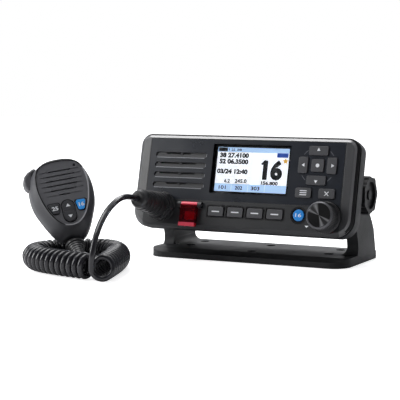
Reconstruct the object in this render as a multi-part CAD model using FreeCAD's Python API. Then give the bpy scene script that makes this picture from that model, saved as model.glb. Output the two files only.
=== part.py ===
import FreeCAD, Part
import math
import os

# Fixed-mount VHF marine radio on its bracket, with a handset on a curly cord.
# Millimetres. X right, Y back, Z up. The origin is the centre of the bracket's underside.

V = FreeCAD.Vector
X = V(1, 0, 0)
Y = V(0, 1, 0)
Z = V(0, 0, 1)

# Fits and clearances
GAP = 0.3            # between pieces of different bodies
RUN = 0.05           # radial play of a turning fit
FIT = 0.2            # between pieces that are dropped into each other
BEHIND = 0.1         # between a key's flange and the panel that holds it

# Bracket
BASE_W = 185.0
BASE_D = 78.8
BASE_T = 7.5
EAR_GAP = 3.0        # between a leg and the side of the casting
BASE_LIP = 4.9       # height of the base's front wall
LEG_T = 10.0
LEG_HEAD_R = 13.0
LEG_FILLET = 7.0
HOLE_R = 2.5
HOLE_SPAN_X = BASE_W - 53.0  # outer screw holes, left to right
HOLE_SPAN_Y = 28.0
HOLE_MID_Y = 8.6     # middle of the outer screw holes
MID_HOLES_Y = (-19.0, HOLE_MID_Y + HOLE_SPAN_Y / 2)
PIVOT_Y = -3.7
PIVOT_Z = 59.0       # height of the trunnion axis over the base's underside

# Radio, in its own axes: x right, y back from the front face, z up from the middle of the face
TILT = 13.89         # degrees, leaning back
PIVOT_DEPTH = 38.0
PIVOT_UP = 1.0
FLANGE_PAST = 9.2    # of the flange past the bracket, each side
FLANGE_W = BASE_W + 2 * FLANGE_PAST
RIGHT = FLANGE_W / 2
LEFT = -RIGHT
FLANGE_TOP = 42.0
FLANGE_LOW = -40.5
FLANGE_D = 20.6
CORNER_TOP = 10.0
CORNER_LOW = 15.5
# the front edge's two facets: how far in from the flange's edge, and at what depth
EDGE = ((3.7, 0.0), (1.6, 1.2), (0.0, 3.0))
CAP_W = 10.7         # width of a side cap
FRONT_D = 6.6        # depth of the front case
SEAL_T = 0.8
SEAL_IN = 1.6        # from the flange's edge to the seal's groove
SEAL_OUT = 3.4       # and to its inner side
HOUSING_Y = FRONT_D + SEAL_T / 2
SKIN = 2.6           # thickness of the front wall
PLATE_T = 1.2
PLATE = (LEFT + CAP_W + 0.6, RIGHT - CAP_W - 0.6, -15.4, 37.7)
SCREEN = (LEFT + 72.2, RIGHT - 59.1, -8.6, 34.2)
BOARD_Y = 7.2
BOARD_T = 1.6

# Speaker louvres
SLOT_X = (LEFT + 16.9, SCREEN[0] - 5.8)
SLOT_H = 4.6
SLOT_Z = (23.45, 14.75, 5.95, -3.0)
SPEAKER_X = LEFT + 41.7
SLOT_OPEN = (11.8, 17.2, 17.2, 9.7)  # half width of the opening in each louvre
SPEAKER_Z = 10.2
SPEAKER_R = 18.0

# Keys: name, centre x, centre z, width, height
PAD_X = RIGHT - 34.3
KEYS = (
    ("key_up", PAD_X, 30.35, 17.0, 7.7),
    ("key_down", PAD_X, 5.5, 17.0, 7.7),
    ("key_left", PAD_X - 12.7, 18.1, 8.4, 13.6),
    ("key_right", PAD_X + 12.7, 18.1, 8.4, 13.6),
    ("key_enter", PAD_X + 0.2, 18.0, 11.0, 10.7),
    ("key_menu", PAD_X - 10.2, -5.15, 14.0, 8.3),
    ("key_clear", PAD_X + 10.4, -5.2, 14.0, 8.3),
)
KEY_OUT = 1.2        # how far a key stands out of the plate
KEY_TRAVEL = 0.8
KEY_FLANGE = 0.65
FLANGE_T = 0.8
KEY_R = 1.3
SOFT_X0 = SCREEN[0] + 8.3
SOFT_PITCH = (SCREEN[1] - SCREEN[0] - 17.5) / 3
SOFT_Z = -24.3
SOFT_BETWEEN = 3.8
SOFT_W = SOFT_PITCH - SOFT_BETWEEN
SOFT_H = 8.2
SOFT_OUT = 0.6
BLUE_X = RIGHT - 46.9
BLUE_Z = -24.0
BLUE_R = 4.8
MAT_Y = SKIN + BEHIND + FLANGE_T + KEY_TRAVEL + 0.3

# Dial
DIAL_X = RIGHT - 22.9
DIAL_Z = -25.0
DIAL_R = 13.3
DIAL_CAP_R = 9.8
DIAL_OUT = 15.8
DIAL_OFF = 1.2       # between the dial and the panel
DIAL_PUSH = 0.6
SHAFT_R = 3.0

# Distress key and its cover
COVER_X = LEFT + 56.1
COVER_W = 15.2
COVER_LOW = -38.6
HINGE_Y = -1.0
HINGE_Z = -19.8
HINGE_R = 2.6
PIN_R = 1.0
LUG_W = 3.4
ALARM_Z = -29.0
ALARM_W = 9.0
ALARM_H = 7.0

# Socket and plug of the handset's cord
PLUG_X = LEFT + 28.2
PLUG_Z = -22.3
SOCKET_R = 12.8
BARREL_R = 10.8
NUT_R = 13.0
NUT_T = 7.0
PLUG_R = 7.8
BOOT_R = 11.6
BOOT_END = 44.0
CORD_R = 2.5

# Rear part
CHASSIS_HALF = BASE_W / 2 - LEG_T - EAR_GAP
CHASSIS = (-CHASSIS_HALF, CHASSIS_HALF, -29.0, 32.0)
CHASSIS_END = 72.0
WALL = 3.0
REAR_T = 3.0
FIN_H = 3.0
FINS = 9
ANTENNA_X = CHASSIS_HALF - 27.5
ANTENNA_Z = 4.0
ANTENNA_R = 7.9
ANTENNA_L = 15.0
GLAND_X = (29.5 - CHASSIS_HALF, 64.5 - CHASSIS_HALF)
GLAND_Z = -6.0
GLAND_R = 7.5
GLAND_L = 10.0
GLAND_BORE = 3.6
MAIN_Z = -18.0

# Knobs of the bracket
KNOB_CLEAR = 0.9     # between a knob and the back of the flange
KNOB_R = PIVOT_DEPTH - FLANGE_D - KNOB_CLEAR
KNOB_T = 9.6
KNOB_LOBES = 7
LOBE_R = 4.2
STUD_R = 3.0

# Handset, in its own axes: x right, y back from its face, z up along it
MIC_PLACE = V(PLUG_X - 19.7, -142.6, 2.8)
MIC_TURN = 40.0      # degrees to the right of straight ahead
MIC_LEAN = 25.0
MIC_ROLL = 10.1
MIC_SEAM = 15.0
MIC_D = 30.0
MIC_FULL = ((27.2, 0.0), (27.6, 6.6), (28.7, 10.3), (31.5, 13.2), (35.3, 16.0), (44.8, 21.0),
            (58.1, 26.1), (69.5, 27.5), (81.9, 26.1), (91.4, 21.0), (96.1, 13.2), (97.8, 6.8), (98.4, 0.0))
MIC_FACE = ((38.6, 0.0), (39.4, 5.0), (41.6, 8.5), (45.5, 12.0), (49.0, 14.2), (57.0, 17.8),
            (68.0, 20.4), (76.0, 21.0), (84.0, 20.2), (89.8, 17.8), (93.4, 14.5), (95.3, 9.0), (95.9, 0.0))
MIC_PLATE_T = 2.4
# height, half width of the groove and half width of the opening in it
MIC_SLOTS = ((86.3, 16.5, 9.7), (82.2, 17.2, 12.2), (78.0, 17.9, 13.0), (73.8, 17.6, 12.9),
             (69.5, 17.0, 10.8), (65.3, 15.3, 4.4))
MIC_GROOVE_H = 0.8
MIC_SLOT_H = 1.2
MIC_KEYS_Z = 53.9
MIC_OVAL_Z = 50.3
MIC_OVAL_W = 10.0
MIC_OVAL_H = 18.0
MIC_KEY_X = 11.4
MIC_KEY_W = 8.7       # at its upper edge
MIC_KEY_H = 8.6
MIC_KEY_IN = 1.1      # how far the inner side slants in towards the lower edge
MIC_KEY_SLANT = 2.9   # and the outer side
MIC_KEY_FOOT = 0.4
MIC_KEY_OUT = 1.0
MIC_KEY_TRAVEL = 0.8
MIC_BOARD_Y = 4.6
MIC_HOLE = (13.6, 89.2)
MIC_SPEAKER_Z = 76.0
MIC_SPEAKER_R = 13.2
MIC_POSTS = ((-7.4, 46.8), (7.4, 46.8), (-8.6, 60.6), (8.6, 60.6))
PTT_IN = 21.0        # half width at the button's inner face
PTT_TRAVEL = 1.5
PTT_Y = (9.0, 20.0)
# out from the inner face, and height
PTT_SIDE = ((0.0, 77.5), (5.6, 78.0), (7.4, 79.6), (8.2, 82.5), (8.2, 86.5), (6.8, 90.0), (3.6, 93.0),
            (-1.2, 95.4), (-4.0, 96.0), (-4.0, 91.0), (0.0, 90.2))
PTT_TOP_Z = 89.6     # from here up, the button's pocket is deeper
RELIEF_TILT = 30.0
RELIEF_L = 16.0

# Cord
COIL_R = 10.75
# x from the plug's axis, and y
COIL_ROUTE = ((21.1, -180.9), (14.5, -159.4), (7.0, -137.4), (-3.0, -115.4), (-15.5, -100.5),
              (-31.5, -96.0), (-48.0, -103.5), (-60.0, -115.5), (-66.3, -126.5), (-67.1, -138.5),
              (-62.9, -149.5), (-55.0, -158.0), (-44.0, -164.0), (-30.0, -169.0), (-16.8, -172.3),
              (-3.4, -174.9))
TO_RADIO = ((6.1, -127.0, 60.8), (10.3, -153.5, 54.0), (13.5, -173.0, 42.5), (15.9, -186.5, 27.5),
            (14.4, -185.7, 10.0))
TO_HANDSET = ((-14.5, -147.5, 5.0), (-1.0, -157.2, 10.9), (1.8, -165.1, 16.8), (0.2, -175.3, 19.05))


def block(x0, x1, y0, y1, z0, z1):
    return Part.makeBox(x1 - x0, y1 - y0, z1 - z0, V(x0, y0, z0))


def rod(r, x, z, y0, y1):
    """A cylinder along Y."""
    return Part.makeCylinder(r, y1 - y0, V(x, y0, z), Y)


def bar(r, y, z, x0, x1):
    """A cylinder along X."""
    return Part.makeCylinder(r, x1 - x0, V(x0, y, z), X)


def fuse(shapes):
    whole = shapes[0]
    for s in shapes[1:]:
        whole = whole.fuse(s)
    return whole.removeSplitter()


def cut(shape, tools):
    for t in tools:
        shape = shape.cut(t)
    return shape


def rounded(x0, x1, z0, z1, top, low, y):
    """A rounded rectangle in the plane y, as a wire."""
    k = math.sqrt(0.5)
    corners = ((x0, z0, 1, 1, low), (x1, z0, -1, 1, low), (x1, z1, -1, -1, top), (x0, z1, 1, -1, top))
    ends = []
    for i, (x, z, sx, sz, r) in enumerate(corners):
        a = V(x, y, z + sz * r)
        b = V(x + sx * r, y, z)
        m = V(x + sx * r * (1 - k), y, z + sz * r * (1 - k))
        ends.append((a, m, b) if i % 2 == 0 else (b, m, a))
    edges = []
    for i, (a, m, b) in enumerate(ends):
        edges.append(Part.Arc(a, m, b).toShape())
        edges.append(Part.makeLine(b, ends[(i + 1) % 4][0]))
    return Part.Wire(edges)


def plate(x0, x1, z0, z1, top, low, y0, y1):
    return Part.Face(rounded(x0, x1, z0, z1, top, low, y0)).extrude(V(0, y1 - y0, 0))


def pad(cx, cz, w, h, r, y0, y1):
    return plate(cx - w / 2, cx + w / 2, cz - h / 2, cz + h / 2, r, r, y0, y1)


def turned(profile, x, z):
    """A solid of revolution about the Y axis through x, z, from (y, radius) points."""
    pts = [V(x + r, y, z) for y, r in profile]
    pts.append(pts[0])
    return Part.Face(Part.makePolygon(pts)).revolve(V(x, 0, z), Y, 360)


def flange_ring(inset, y0, y1, end_inset=None):
    """A slice of the flange's outline between two depths."""
    outline = []
    for y, i in ((y0, inset), (y1, inset if end_inset is None else end_inset)):
        outline.append(rounded(LEFT + i, RIGHT - i, FLANGE_LOW + i, FLANGE_TOP - i,
                               CORNER_TOP - i, CORNER_LOW - i, y))
    return Part.makeLoft(outline, True, True)


def to_radio(shape):
    """From the radio's own axes to the bracket's."""
    s = shape.copy()
    s.translate(V(0, -PIVOT_DEPTH, -PIVOT_UP))
    s.rotate(V(0, 0, 0), X, -TILT)
    s.translate(V(0, PIVOT_Y, PIVOT_Z))
    return s


def mic_matrix():
    """From the handset's own axes to the bracket's."""
    turn = FreeCAD.Rotation(Z, MIC_TURN)
    lean = FreeCAD.Rotation(X, -MIC_LEAN)
    roll = FreeCAD.Rotation(Y, -MIC_ROLL)
    return FreeCAD.Placement(MIC_PLACE, turn.multiply(lean).multiply(roll))


def to_handset(shape):
    return shape.transformed(mic_matrix().toMatrix())


def save(name, shape):
    solids = shape.Solids
    if shape.ShapeType != "Solid" and len(solids) == 1:
        shape = solids[0]
    shape.exportStep("parts/" + name + ".step")
    b = shape.BoundBox
    print(name, "solids", len(solids), "valid", shape.isValid(), "volume", round(shape.Volume, 1),
          "z", round(b.ZMin, 2), round(b.ZMax, 2))


# ---- bracket ----

def leg_outline(x):
    head = V(x, PIVOT_Y, PIVOT_Z)
    back = BASE_D / 2
    front = ((-21.0, 0.0), (-14.5, 2.6), (-9.4, 5.9), (-6.6, 9.5), (-5.9, 13.5), (-6.6, 18.0),
             (-9.2, 26.0), (-12.6, 38.0))
    rear = ((16.9, 43.6), (23.2, 38.8), (27.5, 33.7), (32.5, 26.2), (34.0, 20.8), (back, 0.4), (back, 0.0))
    a = math.radians(188)
    b = math.radians(12)
    start = head + V(0, LEG_HEAD_R * math.cos(a), LEG_HEAD_R * math.sin(a))
    end = head + V(0, LEG_HEAD_R * math.cos(b), LEG_HEAD_R * math.sin(b))
    low = [V(x, y, z) for y, z in front]
    high = [V(x, y, z) for y, z in rear]
    edges = [Part.makePolygon(low + [start])]
    edges.append(Part.Wire([Part.Arc(start, head + V(0, 0, LEG_HEAD_R), end).toShape()]))
    edges.append(Part.makePolygon([end] + high + [low[0]]))
    return Part.Wire([e for w in edges for e in w.Edges])


def bracket():
    half = BASE_W / 2
    front = -BASE_D / 2
    back = BASE_D / 2
    side = ((front, 0), (front, BASE_LIP), (front + 3.2, BASE_LIP + 1.0), (front + 13.5, BASE_T),
            (back - 1.5, BASE_T), (back, BASE_T - 1.5), (back, 0), (front, 0))
    base = Part.Face(Part.makePolygon([V(-half, y, z) for y, z in side])).extrude(V(BASE_W, 0, 0))
    plan = plan_outline(half, front, back)
    base = base.common(Part.Face(plan).extrude(V(0, 0, BASE_T + 1)))
    shapes = [base]
    for x in (-half, half - LEG_T):
        shapes.append(Part.Face(leg_outline(x)).extrude(V(LEG_T, 0, 0)))
    for s in (-1, 1):
        shapes.append(leg_fillet(s))
    whole = fuse(shapes)
    for x, y in screw_places():
        whole = whole.cut(Part.makeCylinder(HOLE_R, BASE_T + 2, V(x, y, -1)))
    return whole.cut(bar(STUD_R + GAP, PIVOT_Y, PIVOT_Z, -half - 1, half + 1))


def plan_outline(half, front, back):
    r = 16.0
    k = r * (1 - math.sqrt(0.5))
    a = V(-half, front + r, 0)
    b = V(-half + r, front, 0)
    c = V(half - r, front, 0)
    d = V(half, front + r, 0)
    edges = [Part.Arc(a, V(-half + k, front + k, 0), b).toShape(), Part.makeLine(b, c)]
    edges += [Part.Arc(c, V(half - k, front + k, 0), d).toShape(), Part.makeLine(d, V(half, back, 0))]
    edges += [Part.makeLine(V(half, back, 0), V(-half, back, 0)), Part.makeLine(V(-half, back, 0), a)]
    return Part.Wire(edges)


def leg_fillet(s):
    """The hollow fillet between a leg's inner face and the base."""
    r = LEG_FILLET
    x = s * (BASE_W / 2 - LEG_T)
    y = -6.0
    k = r * (1 - math.sqrt(0.5))
    a = V(x, y, BASE_T + r)
    b = V(x - s * r, y, BASE_T)
    hollow = Part.Arc(a, V(x - s * k, y, BASE_T + k), b).toShape()
    sunk = V(0, 0, -1)
    foot = Part.makePolygon([b, b + sunk, V(x, y, BASE_T) + sunk, a])
    return Part.Face(Part.Wire([hollow] + foot.Edges)).extrude(V(0, BASE_D / 2 - 4 - y, 0))


def screw_places():
    places = []
    for sx in (-1, 1):
        for sy in (-1, 1):
            places.append((sx * HOLE_SPAN_X / 2, HOLE_MID_Y + sy * HOLE_SPAN_Y / 2))
    return places + [(0.0, y) for y in MID_HOLES_Y]


def knob(s):
    """A lobed clamping knob with its threaded stud, turned on by hand from the side."""
    x0 = BASE_W / 2 + FIT
    disc = bar(KNOB_R - 1.5, PIVOT_Y, PIVOT_Z, x0, x0 + KNOB_T)
    shapes = [disc]
    for i in range(KNOB_LOBES):
        a = 2 * math.pi * i / KNOB_LOBES
        y = PIVOT_Y + (KNOB_R - LOBE_R) * math.cos(a)
        z = PIVOT_Z + (KNOB_R - LOBE_R) * math.sin(a)
        shapes.append(bar(LOBE_R, y, z, x0 + 0.8, x0 + KNOB_T))
    whole = fuse(shapes)
    whole = whole.cut(bar(KNOB_R - 5.0, PIVOT_Y, PIVOT_Z, x0 + KNOB_T - 2.2, x0 + KNOB_T + 1))
    whole = whole.fuse(bar(4.0, PIVOT_Y, PIVOT_Z, x0 + 1, x0 + KNOB_T - 0.8)).removeSplitter()
    inner = CHASSIS[1] - 6.0
    whole = whole.fuse(bar(STUD_R, PIVOT_Y, PIVOT_Z, inner, x0 + 2)).removeSplitter()
    if s < 0:
        whole = whole.mirror(V(0, 0, 0), X)
    return whole


# ---- front of the radio ----

def front_body():
    """The whole front moulding, before the side caps are parted from it."""
    rings = [flange_ring(i, y, far_y, far_i) for (i, y), (far_i, far_y) in zip(EDGE, EDGE[1:])]
    y = EDGE[-1][1]
    rings.append(flange_ring(0.0, y, y + 0.6))
    rings.append(flange_ring(1.0, y + 0.6, FRONT_D))
    return fuse(rings)


def screw_spots():
    x = FLANGE_W / 2 - CAP_W / 2 - 0.8
    return [(sx * x, sz * 28.0) for sx in (-1, 1) for sz in (-1, 1)]


def side_cap(s):
    x = FLANGE_W / 2 - CAP_W
    x0, x1 = (x, FLANGE_W) if s > 0 else (-FLANGE_W, -x)
    part = front_body().common(block(x0, x1, -1, FLANGE_D, -FLANGE_W, FLANGE_W))
    part = cut(part, [rod(1.6, sx, sz, 3.6, FRONT_D + 1) for sx, sz in screw_spots()])
    return part.cut(seat_of_dial())


def seat_of_dial():
    return rod(DIAL_R + 0.6, DIAL_X, DIAL_Z, -1.0, 0.4)


def key_holes(y0, y1):
    holes = []
    for name, x, z, w, h in KEYS:
        holes.append(pad(x, z, w + 2 * GAP, h + 2 * GAP, KEY_R + GAP, y0, y1))
    return holes


def soft_places():
    return [(SOFT_X0 + SOFT_PITCH * k, SOFT_Z) for k in range(4)]


def front_case():
    x = FLANGE_W / 2 - CAP_W
    part = front_body().common(block(-x, x, -1, FLANGE_D, -FLANGE_W, FLANGE_W))
    inner = x - WALL
    part = part.cut(plate(-inner, inner, FLANGE_LOW + 3.5, FLANGE_TOP - 3.5, 3.0, 6.0, SKIN, FRONT_D + 1))
    px0, px1, pz0, pz1 = PLATE
    part = part.cut(plate(px0, px1, pz0, pz1, 2.0, 0.6, -1, PLATE_T))
    sx0, sx1, sz0, sz1 = SCREEN
    g = 2 * FIT
    part = part.cut(plate(sx0 - g, sx1 + g, sz0 - g, sz1 + g, 1.2, 1.2, 0, SKIN + 1))
    for half, z in zip(SLOT_OPEN, SLOT_Z):
        part = part.cut(pad(SPEAKER_X - 3.0, z + SLOT_H / 2 - 0.9, 2 * half, 1.2, 0.5, 0, SKIN + 1))
    part = cut(part, key_holes(0, SKIN + 1))
    for cx, cz in soft_places():
        part = part.cut(pad(cx, cz, SOFT_W + 2, SOFT_H + 1.8, 2.0, -1, 0.8))
        part = part.cut(pad(cx, cz, SOFT_W + 2 * GAP, SOFT_H + 2 * GAP, KEY_R + GAP, 0, SKIN + 1))
    part = part.cut(rod(BLUE_R + 1.4, BLUE_X, BLUE_Z, -1, 0.8))
    part = part.cut(rod(BLUE_R + GAP, BLUE_X, BLUE_Z, 0, SKIN + 1))
    part = part.cut(seat_of_dial())
    part = part.cut(rod(SHAFT_R + 1.6, DIAL_X, DIAL_Z, 0, SKIN + 1))
    part = part.cut(rod(SOCKET_R + FIT, PLUG_X, PLUG_Z, -1, SKIN + 1))
    part = part.cut(pad(COVER_X, ALARM_Z, ALARM_W + 2 * GAP, ALARM_H + 2 * GAP, KEY_R + GAP, -1, SKIN + 1))
    lug = COVER_W / 2 + GAP
    for s in (-1, 1):
        a = COVER_X + s * lug
        b = COVER_X + s * (lug + LUG_W)
        x0, x1 = min(a, b), max(a, b)
        foot = block(x0, x1, HINGE_Y, 1.0, HINGE_Z - HINGE_R, HINGE_Z + HINGE_R)
        part = part.fuse(fuse([bar(HINGE_R, HINGE_Y, HINGE_Z, x0, x1), foot]))
    part = part.cut(bar(HINGE_R + GAP, HINGE_Y, HINGE_Z, COVER_X - lug, COVER_X + lug))
    part = part.cut(bar(PIN_R, HINGE_Y, HINGE_Z, COVER_X - lug - LUG_W, COVER_X + lug + LUG_W))
    return part.removeSplitter()


def front_plate():
    """The glossy plate over the upper part of the front."""
    x0, x1, z0, z1 = PLATE
    part = plate(x0 + 0.1, x1 - 0.1, z0 + 0.1, z1 - 0.1, 1.9, 0.5, 0.05, PLATE_T)
    part = part.cut(plate(*SCREEN, 1.0, 1.0, -1, PLATE_T + 1))
    for z in SLOT_Z:
        half = SLOT_H / 2
        part = part.cut(plate(*SLOT_X, z - half, z + half, 2.2, 2.2, -1, PLATE_T + 1))
    part = cut(part, key_holes(-1, PLATE_T + 1))
    part = part.cut(rod(DIAL_R + 0.6, DIAL_X, DIAL_Z, -1.0, PLATE_T + 1))
    return part.cut(rod(SOCKET_R + FIT, PLUG_X, PLUG_Z, -1, PLATE_T + 1))


def display_window():
    x0, x1, z0, z1 = SCREEN
    return plate(x0 - FIT, x1 + FIT, z0 - FIT, z1 + FIT, 1.0, 1.0, PLATE_T, SKIN + 0.2)


def display_module():
    x0, x1, z0, z1 = SCREEN
    return block(x0 - 1.0, x1 + 1.0, SKIN + 0.2, BOARD_Y, z0 - 1.4, z1 + 1.6)


def key(cx, cz, w, h, out):
    cap = pad(cx, cz, w, h, KEY_R, -out, SKIN + BEHIND)
    y = SKIN + BEHIND
    foot = pad(cx, cz, w + 2 * KEY_FLANGE, h + 2 * KEY_FLANGE, KEY_R, y, y + FLANGE_T)
    return fuse([cap, foot])


def blue_key():
    return fuse([rod(BLUE_R, BLUE_X, BLUE_Z, -SOFT_OUT, SKIN + BEHIND),
                 rod(BLUE_R + KEY_FLANGE, BLUE_X, BLUE_Z, SKIN + BEHIND, SKIN + BEHIND + FLANGE_T)])


def keypad_mat():
    x_out = FLANGE_W / 2 - CAP_W - WALL - 1.0
    x_in = PAD_X - 18.4
    pads = block(x_in, x_out, MAT_Y, BOARD_Y, -11.0, 35.0)
    link = block(x_in, BLUE_X + BLUE_R + 2.4, MAT_Y, BOARD_Y, BLUE_Z - 9.0, -11.0)
    strip = block(COVER_X - 10.4, x_in, MAT_Y, BOARD_Y, SOFT_Z - 9.7, SOFT_Z + 8.3)
    return fuse([pads, link, strip])


def front_board():
    x = FLANGE_W / 2 - CAP_W - WALL - 2.0
    part = block(-x, x, BOARD_Y, BOARD_Y + BOARD_T, -34.0, 34.0)
    part = part.cut(rod(SPEAKER_R + 1.0, SPEAKER_X, SPEAKER_Z, 0, FLANGE_D))
    return part.cut(rod(BARREL_R + 0.5, PLUG_X, PLUG_Z, 0, FLANGE_D))


def speaker_membrane():
    return rod(SPEAKER_R, SPEAKER_X, SPEAKER_Z, SKIN, SKIN + 0.5)


def speaker():
    y = SKIN + 0.5
    r = SPEAKER_R
    return turned(((y, r - 2.5), (y, r), (y + 2.5, r), (y + 7.0, 10.0), (y + 12.0, 10.0), (y + 12.0, 0.0),
                   (y + 6.0, 0.0), (y + 1.5, r - 3.5)), SPEAKER_X, SPEAKER_Z)


def dial_skirt():
    y = -DIAL_OFF
    e = -DIAL_OUT
    cap = DIAL_CAP_R + 0.1
    profile = ((y, SHAFT_R), (y, DIAL_R), (y - 1.2, DIAL_R), (y - 2.0, DIAL_R - 0.6),
               (e + 2.6, DIAL_R - 1.2), (e + 0.6, DIAL_R - 2.2), (e, cap), (e + 1.0, cap), (e + 1.0, SHAFT_R))
    return turned(profile, DIAL_X, DIAL_Z)


def dial_cap():
    return rod(DIAL_CAP_R, DIAL_X, DIAL_Z, -DIAL_OUT, -DIAL_OUT + 1.0)


def dial_shaft():
    return rod(SHAFT_R - RUN, DIAL_X, DIAL_Z, -DIAL_OUT + 1.0 + RUN, BOARD_Y - 1.0 - DIAL_PUSH)


def dial_encoder():
    part = fuse([pad(DIAL_X, DIAL_Z, 14.0, 13.0, 0.5, SKIN + 0.3, BOARD_Y),
                 rod(SHAFT_R + 1.4, DIAL_X, DIAL_Z, 0.6, SKIN + 0.3)])
    return part.cut(rod(SHAFT_R, DIAL_X, DIAL_Z, 0, BOARD_Y - 0.8))


def distress_cover():
    x0 = COVER_X - COVER_W / 2
    x1 = COVER_X + COVER_W / 2
    barrel = bar(HINGE_R, HINGE_Y, HINGE_Z, x0, x1)
    face = HINGE_Y - HINGE_R - 0.5
    flap = block(x0, x1, face, face + 1.2, COVER_LOW, HINGE_Z)
    lip = block(x0, x1, face - 0.9, -GAP - 0.6, COVER_LOW, COVER_LOW + 3.2)
    sides = [block(x, x + 0.8, face, -GAP - 0.1, COVER_LOW, HINGE_Z - 1.5) for x in (x0, x1 - 0.8)]
    part = fuse([barrel, flap, lip] + sides)
    return part.cut(bar(PIN_R + RUN, HINGE_Y, HINGE_Z, x0 - 1, x1 + 1))


def distress_hinge_pin():
    reach = COVER_W / 2 + GAP + LUG_W
    return bar(PIN_R, HINGE_Y, HINGE_Z, COVER_X - reach, COVER_X + reach)


def mic_socket():
    part = fuse([rod(SOCKET_R, PLUG_X, PLUG_Z, -0.5, SKIN), rod(BARREL_R, PLUG_X, PLUG_Z, SKIN, 15.0)])
    return part.cut(rod(PLUG_R + FIT, PLUG_X, PLUG_Z, -1, 10.5))


def plug_nut():
    pts = []
    for k in range(7):
        a = math.radians(-6 + 60 * k)
        pts.append(V(PLUG_X + NUT_R * math.cos(a), -0.5 - NUT_T, PLUG_Z + NUT_R * math.sin(a)))
    part = Part.Face(Part.makePolygon(pts)).extrude(V(0, NUT_T, 0))
    return part.cut(rod(PLUG_R + FIT, PLUG_X, PLUG_Z, -20, 5))


def plug_boot():
    """The ribbed rubber boot behind the plug, with the hole that the cord goes into."""
    y = -0.5 - NUT_T
    hole = CORD_R + 0.1
    profile = [(10.0, 0.0), (10.0, PLUG_R), (y, PLUG_R), (y, BOOT_R), (y - 3.0, BOOT_R)]
    steps = ((10.6, 6.0), (10.2, 5.0), (9.7, 5.0), (9.2, 5.0), (8.7, 5.0))
    at = y - 3.0
    for r, run in steps:
        profile += [(at, r), (at - run, r)]
        at -= run
    tip = -BOOT_END
    profile += [(at, 8.1), (tip + 3.0, 7.9), (tip + 0.8, 6.6), (tip, 4.6), (tip, hole)]
    profile += [(tip + 16.0, hole), (tip + 16.0, 0.0)]
    return turned(profile, PLUG_X, PLUG_Z)


# ---- rear of the radio ----

def seal_ring(outer, inner, y0, y1):
    return flange_ring(outer, y0, y1).cut(flange_ring(inner, y0 - 1, y1 + 1))


def case_seal():
    return seal_ring(SEAL_IN + 0.1, SEAL_OUT - 0.1, FRONT_D, FRONT_D + SEAL_T)


def rear_housing():
    y = HOUSING_Y
    part = fuse([flange_ring(0.0, y, 13.0), flange_ring(0.0, 13.0, FLANGE_D, 0.8)])
    inner = FLANGE_W / 2 - CAP_W - WALL
    low = FLANGE_LOW + 4.5
    part = part.cut(plate(-inner, inner, low, FLANGE_TOP - 4.5, 3.0, 6.0, y - 1, FLANGE_D - WALL))
    x0, x1, z0, z1 = CHASSIS
    part = part.cut(plate(x0 + WALL, x1 - WALL, z0 + WALL, z1 - WALL, 2.0, 2.0, y, FLANGE_D + 1))
    part = part.cut(seal_ring(SEAL_IN, SEAL_OUT, y - 1, FRONT_D + SEAL_T))
    for sx, sz in screw_spots():
        part = part.cut(rod(1.6, sx, sz, 0, FLANGE_D + 1))
        part = part.cut(rod(3.0, sx, sz, FLANGE_D - 2.0, FLANGE_D + 1))
    return part


def case_screws():
    screws = []
    y = FLANGE_D - 2.0
    for x, z in screw_spots():
        screws.append(fuse([rod(2.8, x, z, y, y + 1.8), rod(1.5, x, z, 4.0, y)]))
    y = CHASSIS_END + REAR_T
    for x, z in rear_spots():
        screws.append(fuse([rod(2.8, x, z, y, y + 1.8), rod(1.4, x, z, y - 9, y)]))
    return Part.makeCompound(screws)


def chassis():
    x0, x1, z0, z1 = CHASSIS
    part = plate(x0, x1, z0, z1, 4.0, 4.0, FLANGE_D, CHASSIS_END)
    hollow = (x0 + WALL, x1 - WALL, z0 + WALL, z1 - WALL)
    part = part.cut(plate(*hollow, 2.0, 2.0, FLANGE_D - 1, CHASSIS_END + 1))
    step = (x1 - x0 - 24.0) / (FINS - 1)
    for k in range(FINS):
        x = x0 + 12 + k * step
        part = part.fuse(block(x - 1, x + 1, FLANGE_D + 6, CHASSIS_END, z1 - 1, z1 + FIN_H))
    part = part.removeSplitter()
    reach = BASE_W / 2 - LEG_T - FIT
    for s in (-1, 1):
        a, b = (x1 - 8, reach) if s > 0 else (-reach, x0 + 8)
        part = part.fuse(bar(9.0, PIVOT_DEPTH, PIVOT_UP, a, b))
    for x in (x0 + 9, x1 - 9):
        for y in (FLANGE_D + 16, CHASSIS_END - 8):
            part = part.fuse(Part.makeCylinder(3.0, MAIN_Z - z0 - 1, V(x, y, z0 + 1)))
    for x, z in rear_spots():
        part = part.fuse(rod(3.4, x, z, CHASSIS_END - 12, CHASSIS_END))
        part = part.cut(rod(1.5, x, z, CHASSIS_END - 10, CHASSIS_END + 1))
    part = part.removeSplitter()
    return part.cut(bar(STUD_R + RUN, PIVOT_DEPTH, PIVOT_UP, x0 - 9, x0 + 9)).cut(
        bar(STUD_R + RUN, PIVOT_DEPTH, PIVOT_UP, x1 - 9, x1 + 9))


def rear_spots():
    x0, x1, z0, z1 = CHASSIS
    return [(x, z) for x in (x0 + 4.5, x1 - 4.5) for z in (z0 + 4.5, z1 - 4.5)]


def rear_panel():
    x0, x1, z0, z1 = CHASSIS
    part = plate(x0, x1, z0, z1, 4.0, 4.0, CHASSIS_END, CHASSIS_END + REAR_T)
    for x in GLAND_X:
        part = part.cut(rod(GLAND_R - 1.5, x, GLAND_Z, CHASSIS_END - 1, CHASSIS_END + REAR_T + 1))
    part = part.cut(rod(6.5, ANTENNA_X, ANTENNA_Z, CHASSIS_END - 1, CHASSIS_END + REAR_T + 1))
    for x, z in rear_spots():
        part = part.cut(rod(1.6, x, z, CHASSIS_END - 1, CHASSIS_END + REAR_T + 1))
    return part


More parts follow.
